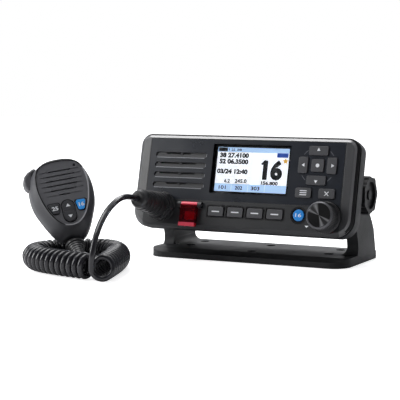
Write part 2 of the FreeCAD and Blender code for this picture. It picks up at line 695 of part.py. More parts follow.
def antenna_connector():
    y = CHASSIS_END + REAR_T
    part = fuse([pad(ANTENNA_X, ANTENNA_Z, 25.0, 25.0, 1.5, y, y + 2.0),
                 rod(ANTENNA_R, ANTENNA_X, ANTENNA_Z, y, y + ANTENNA_L),
                 rod(6.3, ANTENNA_X, ANTENNA_Z, y - 9, y)])
    return part.cut(rod(5.2, ANTENNA_X, ANTENNA_Z, y + 3, y + ANTENNA_L + 1))


def cable_glands():
    y = CHASSIS_END + REAR_T
    glands = []
    for x in GLAND_X:
        g = fuse([rod(GLAND_R, x, GLAND_Z, y, y + 3.0), rod(GLAND_R - 1.0, x, GLAND_Z, y, y + GLAND_L),
                  rod(GLAND_R - 1.7, x, GLAND_Z, y - 6, y)])
        glands.append(g.cut(rod(GLAND_BORE, x, GLAND_Z, y - 7, y + GLAND_L + 1)))
    return Part.makeCompound(glands)


def main_board():
    x0, x1 = CHASSIS[0], CHASSIS[1]
    return block(x0 + 4, x1 - 4, FLANGE_D + 4, CHASSIS_END - 3, MAIN_Z, MAIN_Z + BOARD_T)


def shield_can():
    z = MAIN_Z + BOARD_T
    x0 = CHASSIS[0] + 27.5
    x1 = CHASSIS[1] - 67.5
    t = 0.6
    part = block(x0, x1, FLANGE_D + 12, CHASSIS_END - 14, z, z + 9)
    return part.cut(block(x0 + t, x1 - t, FLANGE_D + 12 + t, CHASSIS_END - 14 - t, z - 1, z + 9 - t))


# ---- handset ----

def along(table, z):
    for (a, wa), (b, wb) in zip(table, table[1:]):
        if a <= z <= b:
            return wa + (wb - wa) * (z - a) / (b - a)
    return 0.0


def outline(table, y, sx=1.0, sz=1.0, grow=0.0):
    """A closed smooth outline in the plane y, from half widths by height."""
    z0 = table[0][0]
    z1 = table[-1][0]
    mid = (z0 + z1) / 2
    n = 11
    right = []
    for i in range(n + 1):
        z = z0 + (z1 - z0) * (1 - math.cos(math.pi * i / n)) / 2
        w = along(table, z)
        far = (z - mid) / (z1 - z0) * 2
        right.append((w * sx + (grow if 0 < i < n else 0.0), mid + (z - mid) * sz + grow * far))
    pts = [V(w, y, z) for w, z in right] + [V(-w, y, z) for w, z in right[-2:0:-1]]
    curve = Part.BSplineCurve()
    curve.interpolate(Points=pts, PeriodicFlag=True)
    return Part.Wire([curve.toShape()])


def mixed(share, y):
    """An outline between the face plate's and the widest one."""
    table = []
    for (za, wa), (zb, wb) in zip(MIC_FACE, MIC_FULL):
        table.append((za + (zb - za) * share, wa + (wb - wa) * share))
    return outline(table, y)


def screw_columns():
    return ((-15.5, 86.0), (15.5, 86.0), (-12.0, 42.0), (12.0, 42.0))


def ptt_pocket():
    g = GAP
    low = PTT_SIDE[0][1] - g
    high = max(z for x, z in PTT_SIDE) + g
    room = PTT_TRAVEL + 1
    deepest = -PTT_IN - min(x for x, z in PTT_SIDE) + room
    lower = block(-PTT_IN - 20, -PTT_IN + room, PTT_Y[0] - g, PTT_Y[1] + g, low, high)
    return lower.fuse(block(-PTT_IN - 20, deepest, PTT_Y[0] - g, PTT_Y[1] + g, PTT_TOP_Z, high))


def handset_front():
    outer = [mixed(0.12, -0.4), mixed(0.18, 0.8), mixed(0.52, 4.0), mixed(0.86, 8.5), mixed(1.0, MIC_SEAM)]
    inner = [outline(MIC_FULL, 4.0, 0.62, 0.70), outline(MIC_FULL, 9.0, 0.84, 0.88),
             outline(MIC_FULL, MIC_SEAM + 1, 0.90, 0.93)]
    part = Part.makeLoft(outer, True, False).cut(Part.makeLoft(inner, True, False))
    seat = Part.Face(outline(MIC_FACE, -2, 1, 1, 0.12)).extrude(V(0, MIC_PLATE_T + 2, 0))
    well = Part.Face(outline(MIC_FACE, -2, 0.9, 0.92)).extrude(V(0, 8, 0))
    part = part.cut(seat).cut(well)
    for s in (-1, 1):
        part = part.cut(key_prism(s, MIC_KEY_FOOT + GAP, 0, 8.0))
    part = part.cut(mic_oval(MIC_KEY_FOOT + GAP, 0, 8.0))
    for x, z in screw_columns():
        part = part.fuse(rod(3.0, x, z, 6.0, MIC_SEAM))
    part = part.removeSplitter()
    for x, z in screw_columns():
        part = part.cut(rod(1.2, x, z, 8.0, MIC_SEAM + 1))
    return part.cut(ptt_pocket()).cut(relief_hole())


def handset_rear():
    deep = MIC_D - MIC_SEAM
    outer = [mixed(1.0, MIC_SEAM), outline(MIC_FULL, MIC_SEAM + 0.4 * deep, 0.92, 0.95),
             outline(MIC_FULL, MIC_SEAM + 0.8 * deep, 0.78, 0.84), outline(MIC_FULL, MIC_D, 0.60, 0.68)]
    inner = [outline(MIC_FULL, MIC_SEAM - 1, 0.90, 0.93),
             outline(MIC_FULL, MIC_SEAM + 0.4 * deep, 0.83, 0.87), outline(MIC_FULL, MIC_D - 2.6, 0.58, 0.66)]
    outer = Part.makeLoft(outer, True, False)
    part = outer.cut(Part.makeLoft(inner, True, False))
    for x, z in screw_columns():
        part = part.fuse(rod(3.0, x, z, MIC_SEAM, MIC_D - 4).common(outer))
    part = part.removeSplitter()
    for x, z in screw_columns():
        part = part.cut(rod(1.4, x, z, MIC_SEAM - 1, MIC_D))
        part = part.cut(rod(2.6, x, z, 22.0, MIC_D + 4))
    part = part.cut(rod(1.5, 0, 66.0, MIC_D - 6, MIC_D + 1))
    return part.cut(ptt_pocket()).cut(relief_hole())


def handset_screws():
    screws = []
    for x, z in screw_columns():
        screws.append(fuse([rod(2.4, x, z, 22.0, 23.6), rod(1.1, x, z, 9.0, 22.0)]))
    return Part.makeCompound(screws)


def handset_plate():
    part = Part.Face(outline(MIC_FACE, 0)).extrude(V(0, MIC_PLATE_T, 0))
    for z, half, opening in MIC_SLOTS:
        part = part.cut(pad(0, z, 2 * half, MIC_GROOVE_H, 0.3, -1, 0.5))
        part = part.cut(pad(0, z, 2 * opening, MIC_SLOT_H, 0.5, -1, MIC_PLATE_T + 1))
    part = part.cut(rod(1.2, *MIC_HOLE, -1, MIC_PLATE_T + 1))
    for s in (-1, 1):
        part = part.cut(key_prism(s, GAP, -1, MIC_PLATE_T + 1))
    part = part.cut(mic_oval(GAP, -1, MIC_PLATE_T + 1))
    return fuse([part] + [rod(0.9, x, z, MIC_PLATE_T - 0.4, MIC_BOARD_Y) for x, z in MIC_POSTS])


def mic_oval(grow, y0, y1):
    """The outline of the oval that the handset's upper and lower keys share, as a prism."""
    w = MIC_OVAL_W + 2 * grow
    return pad(0, MIC_OVAL_Z, w, MIC_OVAL_H + 2 * grow, w / 2 - 0.1, y0, y1)


def key_prism(s, grow, y0, y1):
    """The outline of a side key of the handset, narrower towards its foot, as a prism."""
    half = MIC_KEY_W / 2 + grow
    high = MIC_KEYS_Z + MIC_KEY_H / 2 + grow
    low = MIC_KEYS_Z - MIC_KEY_H / 2 - grow
    corners = [(half, high), (half - MIC_KEY_SLANT, low), (MIC_KEY_IN - half, low), (-half, high)]
    points = [V(s * (MIC_KEY_X + u), y0, z) for u, z in corners]
    prism = Part.Face(Part.makePolygon(points + [points[0]])).extrude(V(0, y1 - y0, 0))
    edges = [e for e in prism.Edges if abs(e.BoundBox.YMax - e.BoundBox.YMin) > (y1 - y0) / 2]
    return prism.makeFillet(1.7 + grow / 2, edges)


def handset_key(s):
    y = MIC_PLATE_T + BEHIND
    return fuse([key_prism(s, 0.0, -MIC_KEY_OUT, y), key_prism(s, MIC_KEY_FOOT, y, y + 0.6)])


def handset_rocker(s):
    """One half of the oval: the upper or the lower key."""
    y = MIC_PLATE_T + BEHIND
    whole = fuse([mic_oval(0.0, -MIC_KEY_OUT, y), mic_oval(MIC_KEY_FOOT, y, y + 0.6)])
    z = MIC_OVAL_Z + s * GAP / 2
    side = block(-20, 20, -5, 9, z, z + 20) if s > 0 else block(-20, 20, -5, 9, z - 20, z)
    return whole.common(side)


def handset_board():
    y = MIC_BOARD_Y
    upper = block(-12.0, 12.0, y, y + BOARD_T, 50.0, 62.0)
    return upper.fuse(block(-8.4, 8.4, y, y + BOARD_T, 45.4, 50.0)).removeSplitter()


def handset_speaker():
    y = MIC_PLATE_T
    r = MIC_SPEAKER_R
    return turned(((y, r - 2.2), (y, r), (y + 1.8, r), (y + 5.0, 8.0), (y + 8.0, 8.0), (y + 8.0, 0.0),
                   (y + 4.0, 0.0), (y + 1.0, r - 2.8)), 0.0, MIC_SPEAKER_Z)


def ptt_button():
    points = [V(-PTT_IN - x, PTT_Y[0], z) for x, z in PTT_SIDE]
    return Part.Face(Part.makePolygon(points + [points[0]])).extrude(V(0, PTT_Y[1] - PTT_Y[0], 0))


def hanger_button():
    return fuse([rod(4.0, 0, 66.0, MIC_D, MIC_D + 3.2), rod(7.5, 0, 66.0, MIC_D + 3.2, MIC_D + 5.4),
                 rod(1.4, 0, 66.0, MIC_D - 4, MIC_D)])


def relief_axis(shape):
    s = shape.copy()
    s.rotate(V(0, 0, 0), X, -RELIEF_TILT)
    s.translate(V(0, 14.0, 27.5))
    return s


def relief_hole():
    return relief_axis(Part.makeCylinder(6.2 + 0.1, 6.5, V(0, 0, -4.0)))


def strain_relief():
    """The ribbed rubber sleeve that the cord leaves the handset through."""
    pts = [(0.0, 2.0), (6.2, 2.0), (6.2, -4.0), (8.4, -4.0), (8.4, -6.5)]
    at = -6.5
    for r in (7.4, 6.8, 6.2, 5.7, 5.2):
        pts += [(r, at), (r, at - 2.1)]
        at -= 2.1
    pts += [(4.4, at), (CORD_R + 0.1, at), (CORD_R + 0.1, at + 10.0), (0.0, at + 10.0)]
    wire = Part.makePolygon([V(r, 0, z) for r, z in pts] + [V(0, 0, 2.0)])
    return relief_axis(Part.Face(wire).revolve(V(0, 0, 0), Z, 360))


# ---- cord ----

def smooth_route(points):
    """Straight runs joined by tangent arcs. Returns the wire and the arcs' radii."""
    edges = []
    radii = []
    last = points[0]
    for i in range(1, len(points) - 1):
        p = points[i]
        a = points[i - 1] - p
        b = points[i + 1] - p
        run = min(a.Length, b.Length)
        turn = math.pi - a.getAngle(b)
        back = 0.45 * run
        start = p + V(a).normalize() * back
        end = p + V(b).normalize() * back
        radius = back / math.tan(turn / 2)
        bis = (V(a).normalize() + V(b).normalize()).normalize()
        mid = p + bis * (radius / math.cos(turn / 2) - radius)
        edges.append(Part.LineSegment(last, start).toShape())
        edges.append(Part.Arc(start, mid, end).toShape())
        radii.append(round(radius, 1))
        last = end
    edges.append(Part.LineSegment(last, points[-1]).toShape())
    return Part.Wire(edges), radii


def tube(name, points, r):
    wire, radii = smooth_route(points)
    along_it = points[1] - points[0]
    ring = Part.Wire([Part.makeCircle(r, points[0], along_it)])
    part = wire.makePipeShell([ring], True, True)
    print(name, "length", round(wire.Length, 1), "radii", radii, "volume share",
          round(part.Volume / (math.pi * r * r * wire.Length), 4))
    return part


def coil_cord():
    return tube("coil_cord", [V(PLUG_X + x, y, COIL_R + 0.05) for x, y in COIL_ROUTE], COIL_R)


def radio_point(depth):
    """A point on the plug's axis, in the bracket's axes."""
    v = to_radio(Part.Vertex(PLUG_X, depth, PLUG_Z))
    return V(v.X, v.Y, v.Z)


def cord_to_radio():
    points = [radio_point(-BOOT_END + 14.0), radio_point(-BOOT_END - 9.0)]
    for x, y, z in TO_RADIO:
        points.append(V(PLUG_X + x, y, z))
    return tube("cord_to_radio", points, CORD_R)


def cord_to_handset():
    m = mic_matrix()
    back = FreeCAD.Rotation(X, -RELIEF_TILT)
    tip = V(0, 14.0, 27.5) + back.multVec(V(0, 0, -9.0))
    out = V(0, 14.0, 27.5) + back.multVec(V(0, 0, -23.0))
    a = m.multVec(tip)
    b = m.multVec(out)
    points = [a, b]
    for x, y, z in TO_HANDSET:
        points.append(V(PLUG_X + x, y, z))
    return tube("cord_to_handset", points, CORD_R)


os.makedirs("parts", exist_ok=True)
save("bracket", bracket())
save("bracket_knob_right", knob(1))
save("bracket_knob_left", knob(-1))
save("front_case", to_radio(front_case()))
save("side_cap_right", to_radio(side_cap(1)))
save("side_cap_left", to_radio(side_cap(-1)))
save("front_plate", to_radio(front_plate()))
save("display_window", to_radio(display_window()))
save("display_module", to_radio(display_module()))
save("speaker_membrane", to_radio(speaker_membrane()))
save("speaker", to_radio(speaker()))
save("keypad_mat", to_radio(keypad_mat()))
save("front_board", to_radio(front_board()))
for name, x, z, w, h in KEYS:
    save(name, to_radio(key(x, z, w, h, KEY_OUT)))
for k, (x, z) in enumerate(soft_places()):
    save("softkey_" + str(k + 1), to_radio(key(x, z, SOFT_W, SOFT_H, SOFT_OUT)))
save("channel_key", to_radio(blue_key()))
save("distress_key", to_radio(key(COVER_X, ALARM_Z, ALARM_W, ALARM_H, SOFT_OUT)))
save("distress_cover", to_radio(distress_cover()))
save("distress_hinge_pin", to_radio(distress_hinge_pin()))
save("dial_skirt", to_radio(dial_skirt()))
save("dial_cap", to_radio(dial_cap()))
save("dial_shaft", to_radio(dial_shaft()))
save("dial_encoder", to_radio(dial_encoder()))
save("handset_socket", to_radio(mic_socket()))
save("plug_nut", to_radio(plug_nut()))
save("plug_boot", to_radio(plug_boot()))
save("case_seal", to_radio(case_seal()))
save("rear_housing", to_radio(rear_housing()))
save("case_screws", to_radio(case_screws()))
save("chassis", to_radio(chassis()))
save("rear_panel", to_radio(rear_panel()))
save("antenna_connector", to_radio(antenna_connector()))
save("cable_glands", to_radio(cable_glands()))
save("main_board", to_radio(main_board()))
save("shield_can", to_radio(shield_can()))
save("handset_front_shell", to_handset(handset_front()))
save("handset_rear_shell", to_handset(handset_rear()))
save("handset_face_plate", to_handset(handset_plate()))
save("handset_power_key", to_handset(handset_key(-1)))
save("handset_channel_key", to_handset(handset_key(1)))
save("handset_up_key", to_handset(handset_rocker(1)))
save("handset_down_key", to_handset(handset_rocker(-1)))
save("handset_board", to_handset(handset_board()))
save("handset_speaker", to_handset(handset_speaker()))
save("push_to_talk_button", to_handset(ptt_button()))
save("handset_screws", to_handset(handset_screws()))
save("hanger_button", to_handset(hanger_button()))
save("strain_relief", to_handset(strain_relief()))
save("curly_cord", coil_cord())
save("cord_to_radio", cord_to_radio())
save("cord_to_handset", cord_to_handset())
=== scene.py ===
import math

import bmesh
import bpy
from mathutils import Matrix, Vector


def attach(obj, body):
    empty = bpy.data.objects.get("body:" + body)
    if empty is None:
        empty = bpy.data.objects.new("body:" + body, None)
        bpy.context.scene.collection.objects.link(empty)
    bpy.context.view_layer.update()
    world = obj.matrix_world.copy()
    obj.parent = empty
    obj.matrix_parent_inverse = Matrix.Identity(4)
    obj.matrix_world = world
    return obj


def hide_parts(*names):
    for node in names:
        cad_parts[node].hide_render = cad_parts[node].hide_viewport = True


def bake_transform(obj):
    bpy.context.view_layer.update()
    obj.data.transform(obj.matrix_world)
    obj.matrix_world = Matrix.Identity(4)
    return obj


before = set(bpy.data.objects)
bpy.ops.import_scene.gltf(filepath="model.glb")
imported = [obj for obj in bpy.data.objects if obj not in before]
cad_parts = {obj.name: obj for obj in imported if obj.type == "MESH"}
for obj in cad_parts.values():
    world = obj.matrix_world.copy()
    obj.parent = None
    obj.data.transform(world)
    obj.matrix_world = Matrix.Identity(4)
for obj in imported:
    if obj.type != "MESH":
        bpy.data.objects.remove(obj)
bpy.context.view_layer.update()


# ---- Table and light ----
# The radio stands on a pale photographer's table that runs up into a white backdrop.
# Large soft lamps hang over it and stand to the left and right.
def clear_choice():
    """Leaves nothing chosen."""
    bpy.ops.object.select_all(action="DESELECT")


def choose(piece):
    """Makes one piece the only chosen one."""
    clear_choice()
    piece.select_set(True)
    bpy.context.view_layer.objects.active = piece


def sum_node(nodes, operation, kind="ShaderNodeMath"):
    """A node that does one sum."""
    node = nodes.new(kind)
    node.operation = operation
    return node


def range_node(nodes, given, wanted=(0.0, 1.0)):
    """A node that turns one range of values into another."""
    node = nodes.new("ShaderNodeMapRange")
    node.inputs["From Min"].default_value, node.inputs["From Max"].default_value = given
    node.inputs["To Min"].default_value, node.inputs["To Max"].default_value = wanted
    return node


clear_choice()
bpy.ops.mesh.primitive_plane_add(size=6.0, location=(0.0, 0.0, -0.0002))
table = bpy.context.object
table.name = "Table"
table_paint = bpy.data.materials.new("Table paint")
table_paint.use_nodes = True
nodes = table_paint.node_tree.nodes
links = table_paint.node_tree.links
paint = nodes["Principled BSDF"]
paint.inputs["Base Color"].default_value = (0.93, 0.93, 0.94, 1.0)
paint.inputs["Roughness"].default_value = 0.75
paint.inputs["Emission Color"].default_value = (1.0, 1.0, 1.0, 1.0)

# The table glows white to the eye alone, more so further out, and not under the bracket's base.
where = nodes.new("ShaderNodeTexCoord")
apart = nodes.new("ShaderNodeSeparateXYZ")
seen = nodes.new("ShaderNodeLightPath")
from_middle = sum_node(nodes, "LENGTH", "ShaderNodeVectorMath")
far_glow = range_node(nodes, (0.15, 1.20), (0.75, 1.00))
only_seen = sum_node(nodes, "MULTIPLY")
under_base = sum_node(nodes, "MULTIPLY")
outside = sum_node(nodes, "SUBTRACT")
outside.inputs[0].default_value = 1.0
open_floor = sum_node(nodes, "MULTIPLY")
links.new(where.outputs["Object"], from_middle.inputs[0])
links.new(from_middle.outputs["Value"], far_glow.inputs["Value"])
links.new(far_glow.outputs["Result"], only_seen.inputs[0])
links.new(seen.outputs["Is Camera Ray"], only_seen.inputs[1])
links.new(where.outputs["Object"], apart.inputs[0])
base_half = {"X": 0.086, "Y": 0.036}
for k, side in enumerate(base_half):
    plain = sum_node(nodes, "ABSOLUTE")
    within = sum_node(nodes, "LESS_THAN")
    within.inputs[1].default_value = base_half[side]
    links.new(apart.outputs[side], plain.inputs[0])
    links.new(plain.outputs["Value"], within.inputs[0])
    links.new(within.outputs["Value"], under_base.inputs[k])
links.new(under_base.outputs["Value"], outside.inputs[1])
links.new(only_seen.outputs["Value"], open_floor.inputs[0])
links.new(outside.outputs["Value"], open_floor.inputs[1])
links.new(open_floor.outputs["Value"], paint.inputs["Emission Strength"])
table.data.materials.append(table_paint)

# The room is brighter on the side of the left wall, and white where it is looked at.
world = bpy.data.worlds.new("Studio")
bpy.context.scene.world = world
world.use_nodes = True
nodes = world.node_tree.nodes
links = world.node_tree.links
soft_room = nodes["Background"]
soft_room.inputs["Color"].default_value = (0.95, 0.96, 1.0, 1.0)
white_wall = nodes.new("ShaderNodeBackground")
white_wall.inputs["Color"].default_value = (1.0, 1.0, 1.0, 1.0)
white_wall.inputs["Strength"].default_value = 1.0
towards = nodes.new("ShaderNodeTexCoord")
by_wall = sum_node(nodes, "DOT_PRODUCT", "ShaderNodeVectorMath")
by_wall.inputs[1].default_value = (-0.45, 0.85, 0.25)
room_glow = range_node(nodes, (-0.50, 0.90), (0.05, 0.80))
which_ray = nodes.new("ShaderNodeLightPath")
wall_mix = nodes.new("ShaderNodeMixShader")
links.new(towards.outputs["Generated"], by_wall.inputs[0])
links.new(by_wall.outputs["Value"], room_glow.inputs["Value"])
links.new(room_glow.outputs["Result"], soft_room.inputs["Strength"])
links.new(which_ray.outputs["Is Camera Ray"], wall_mix.inputs["Fac"])
links.new(soft_room.outputs["Background"], wall_mix.inputs[1])
links.new(white_wall.outputs["Background"], wall_mix.inputs[2])
links.new(wall_mix.outputs["Shader"], nodes["World Output"].inputs["Surface"])


def soft_lamp(name, place, aim, size, power):
    """An oblong lamp that looks at one place."""
    clear_choice()
    bpy.ops.object.light_add(type="AREA", location=place)
    lamp = bpy.context.object
    lamp.name = name
    lamp.data.shape = "RECTANGLE"
    lamp.data.size = size[0]
    lamp.data.size_y = size[1]
    lamp.data.energy = power
    lamp.rotation_euler = (Vector(aim) - Vector(place)).to_track_quat("-Z", "Y").to_euler()


soft_lamp("Overhead lamp", (-0.40, -0.05, 1.15), (-0.08, -0.03, 0.0), (0.9, 0.8), 10.0)
soft_lamp("Left lamp", (-1.00, -0.75, 0.50), (-0.10, -0.08, 0.04), (0.5, 0.7), 9.5)
soft_lamp("Right lamp", (1.25, -0.35, 0.40), (0.05, -0.05, 0.05), (0.4, 0.7), 0.3)
soft_lamp("Back lamp", (-0.25, 0.95, 0.70), (-0.03, -0.05, 0.05), (1.0, 0.4), 3.0)

clear_choice()
bpy.ops.object.camera_add(location=(0.46116, -1.02975, 0.15915),
                          rotation=(math.radians(84.477), 0.0, math.radians(26.83)))
camera = bpy.context.object
camera.data.lens = 116.63
camera.data.sensor_width = 36.0
bpy.context.scene.camera = camera
bpy.context.scene.view_settings.view_transform = "Standard"


# ---- Cord ----
# One cord of black rubber, 5 mm thick, runs from the plug's boot down to the table, round in a close
# helix that lies in a ring, and up into the handset's sleeve. Baking it on a rod sets the helix.
def route_line(name, points):
    """A smooth line past these points, and the places along it."""
    clear_choice()
    line = bpy.data.curves.new(name, "CURVE")
    line.dimensions = "3D"
    spline = line.splines.new("NURBS")
    spline.points.add(len(points) - 1)
    for at, p in zip(spline.points, points):
        at.co = (p[0], p[1], p[2], 1.0)
    spline.order_u = 3
    spline.use_endpoint_u = True
    line.resolution_u = 12
    piece = bpy.data.objects.new(name, line)
    bpy.context.collection.objects.link(piece)
    flat = bpy.data.meshes.new_from_object(piece)
    places = [v.co.copy() for v in flat.vertices]
    bpy.data.meshes.remove(flat)
    return piece, places


cord_r = 0.0025
coil_r = 0.01075
coil_route = ((-52.4, -180.9), (-59.0, -159.4), (-66.5, -137.4), (-76.5, -115.4), (-89.0, -100.5),
              (-105.0, -96.0), (-121.5, -103.5), (-133.5, -115.5), (-139.8, -126.5), (-140.6, -138.5),
              (-136.4, -149.5), (-128.5, -158.0), (-117.5, -164.0), (-103.5, -169.0), (-90.3, -172.3),
              (-76.9, -174.9))
ring_line, ring = route_line("Ring line", [(x / 1000, y / 1000, coil_r + 0.00005) for x, y in coil_route])
bpy.data.objects.remove(ring_line)

reach = [0.0]
for a, b in zip(ring, ring[1:]):
    reach.append(reach[-1] + (b - a).length)


def ring_place(s):
    """The place on the ring at a distance along it, and the way it runs there."""
    if s <= 0.0:
        way = (ring[1] - ring[0]).normalized()
        return ring[0] + way * s, way
    if s >= reach[-1]:
        way = (ring[-1] - ring[-2]).normalized()
        return ring[-1] + way * (s - reach[-1]), way
    k = max(i for i in range(len(reach) - 1) if reach[i] <= s)
    share = (s - reach[k]) / (reach[k + 1] - reach[k])
    before = ring[max(k - 1, 0)]
    after = ring[min(k + 2, len(ring) - 1)]
    return ring[k].lerp(ring[k + 1], share), (after - before).normalized()


def pitch_at(share):
    """Turn to turn, by how far along the ring: close at first, looser along the front."""
    bend = math.exp(-((share - 0.40) / 0.09) ** 2) + math.exp(-((share - 0.62) / 0.10) ** 2)
    loose = 1.0 / (1.0 + math.exp(-(share - 0.84) * 30.0))
    mouth = math.exp(-(share / 0.20) ** 4)
    return 0.00520 + 0.00190 * mouth + 0.00055 * bend + 0.0009 * loose


lead = 0.0026
tail = 0.0095
total = reach[-1] + lead + tail
steps = 4000
turned = [0.0]
for i in range(steps):
    turned.append(turned[-1] + total / steps / pitch_at((i + 0.5) / steps))
turns = round(turned[-1] + 0.25) - 0.25
per_turn = 14
snug = 0.995
winding = []
i = 0
for n in range(int(turns * per_turn) + 1):
    want = n / per_turn * turned[-1] / turns
    while i < steps - 1 and turned[i + 1] < want:
        i += 1
    s = total * (i + (want - turned[i]) / (turned[i + 1] - turned[i])) / steps - lead
    middle, way = ring_place(s)
    side = way.cross(Vector((0.0, 0.0, 1.0)))
    turn = math.pi + 2 * math.pi * n / per_turn
    out = (coil_r - cord_r) / math.cos(math.pi / per_turn) * snug
    winding.append(middle + side * (out * math.cos(turn)) + Vector((0.0, 0.0, out * math.sin(turn))))

to_radio = [(-0.0735, -0.07535, 0.05270), (-0.0735, -0.09758, 0.05823), (-0.0674, -0.1270, 0.0608),
            (-0.0632, -0.1535, 0.0540), (-0.0600, -0.1730, 0.0425), (-0.0576, -0.1865, 0.0275)]
to_handset = [(-0.0650, -0.1650, 0.0150), (-0.0725, -0.1570, 0.0095), (-0.0880, -0.1475, 0.0050),
              (-0.09770, -0.13930, 0.00851), (-0.10665, -0.13194, 0.01637)]
cord_line, cord_path = route_line("Cord line", to_radio + [tuple(p) for p in winding] + to_handset)
cord_line.data.bevel_depth = cord_r
cord_line.data.bevel_resolution = 2
cord_line.data.resolution_u = 3
cord_line.data.use_fill_caps = True
choose(cord_line)
bpy.ops.object.convert(target="MESH")
cord = bpy.context.object
cord.name = "Cord"
bpy.ops.object.shade_smooth()


def skin_group():
    """A surface that varies a little in colour and gloss, with a fine grain."""
    group = bpy.data.node_groups.new("Moulded skin", "ShaderNodeTree")
    for name, kind in (("Place", "NodeSocketVector"), ("Colour", "NodeSocketColor"),
                       ("Other colour", "NodeSocketColor"), ("Grain size", "NodeSocketFloat"),
                       ("Gloss low", "NodeSocketFloat"), ("Gloss high", "NodeSocketFloat")):
        group.interface.new_socket(name, in_out="INPUT", socket_type=kind)
    for name, kind in (("Colour", "NodeSocketColor"), ("Roughness", "NodeSocketFloat"),
                       ("Height", "NodeSocketFloat")):
        group.interface.new_socket(name, in_out="OUTPUT", socket_type=kind)
    nodes = group.nodes
    links = group.links
    source = nodes.new("NodeGroupInput")
    result = nodes.new("NodeGroupOutput")
    grain = nodes.new("ShaderNodeTexNoise")
    grain.inputs["Detail"].default_value = 3.0
    cloud = nodes.new("ShaderNodeTexNoise")
    cloud.inputs["Scale"].default_value = 45.0
    cloud.inputs["Detail"].default_value = 4.0
    tone = nodes.new("ShaderNodeMix")
    tone.data_type = "RGBA"
    gloss = range_node(nodes, (0.3, 0.7))
    links.new(source.outputs["Place"], grain.inputs["Vector"])
    links.new(source.outputs["Grain size"], grain.inputs["Scale"])
    links.new(source.outputs["Place"], cloud.inputs["Vector"])
    links.new(cloud.outputs["Fac"], tone.inputs["Factor"])
    links.new(source.outputs["Colour"], tone.inputs["A"])
    links.new(source.outputs["Other colour"], tone.inputs["B"])
    links.new(cloud.outputs["Fac"], gloss.inputs["Value"])
    links.new(source.outputs["Gloss low"], gloss.inputs["To Min"])
    links.new(source.outputs["Gloss high"], gloss.inputs["To Max"])
    links.new(tone.outputs["Result"], result.inputs["Colour"])
    links.new(gloss.outputs["Result"], result.inputs["Roughness"])
    links.new(grain.outputs["Fac"], result.inputs["Height"])
    return group


moulded_skin = skin_group()


def finish(name, colour, other=None, grain=900.0, gloss=(0.35, 0.45), relief=0.15, **settings):
    """A material of this object: its two close colours, its grain and its gloss."""
    material = bpy.data.materials.new(name)
    material.use_nodes = True
    nodes = material.node_tree.nodes
    links = material.node_tree.links
    shader = nodes["Principled BSDF"]
    place = nodes.new("ShaderNodeTexCoord")
    skin = nodes.new("ShaderNodeGroup")
    skin.node_tree = moulded_skin
    bump = nodes.new("ShaderNodeBump")
    bump.inputs["Strength"].default_value = relief
    bump.inputs["Distance"].default_value = 0.0002
    other = other or tuple(c * 0.82 for c in colour)
    skin.inputs["Colour"].default_value = (*colour, 1.0)
    skin.inputs["Other colour"].default_value = (*other, 1.0)
    skin.inputs["Grain size"].default_value = grain
    skin.inputs["Gloss low"].default_value = gloss[0]
    skin.inputs["Gloss high"].default_value = gloss[1]
    links.new(place.outputs["Object"], skin.inputs["Place"])
    links.new(skin.outputs["Colour"], shader.inputs["Base Color"])
    links.new(skin.outputs["Roughness"], shader.inputs["Roughness"])
    links.new(skin.outputs["Height"], bump.inputs["Height"])
    links.new(bump.outputs["Normal"], shader.inputs["Normal"])
    for socket, value in settings.items():
        shader.inputs[socket.replace("_", " ")].default_value = value
    return material


cord_rubber = finish("Cord rubber", (0.018, 0.018, 0.022), grain=500.0, gloss=(0.16, 0.22), relief=0.02)
cord.data.materials.clear()
cord.data.materials.append(cord_rubber)
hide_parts("curly_cord", "cord_to_radio", "cord_to_handset")
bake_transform(cord)


# ---- Bracket ----
# A U-shaped bracket with a flat base and two curved legs, cast and coated with fine black powder.
# Screws through its base hold it to the console.
def dressed(node, name, body, material, edge=0.0003, angle=35.0, steps=2):
    """A merged copy of a made piece, with its edges rounded and its own material."""
    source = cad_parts[node]
    piece = source.copy()
    piece.data = source.data.copy()
    piece.name = name
    piece.data.name = name
    bpy.context.collection.objects.link(piece)
    piece.parent = None
    piece.matrix_world = Matrix.Identity(4)
    choose(piece)
    bpy.ops.object.mode_set(mode="EDIT")
    bpy.ops.mesh.select_all(action="SELECT")
    bpy.ops.mesh.remove_doubles(threshold=0.000002)
    bpy.ops.mesh.dissolve_limited(angle_limit=math.radians(0.4))
    bpy.ops.object.mode_set(mode="OBJECT")
    if edge > 0.0:
        rounding = piece.modifiers.new("Rounded edges", "BEVEL")
        rounding.width = edge
        rounding.segments = steps
        rounding.limit_method = "ANGLE"
        rounding.angle_limit = math.radians(angle)
        rounding.harden_normals = False
        bpy.ops.object.modifier_apply(modifier=rounding.name)
    bpy.ops.object.shade_smooth_by_angle(angle=math.radians(angle))
    shading = piece.modifiers.new("Even shading", "WEIGHTED_NORMAL")
    shading.keep_sharp = True
    bpy.ops.object.modifier_apply(modifier=shading.name)
    piece.data.materials.clear()
    piece.data.materials.append(material)
    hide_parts(node)
    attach(piece, body)
    return piece


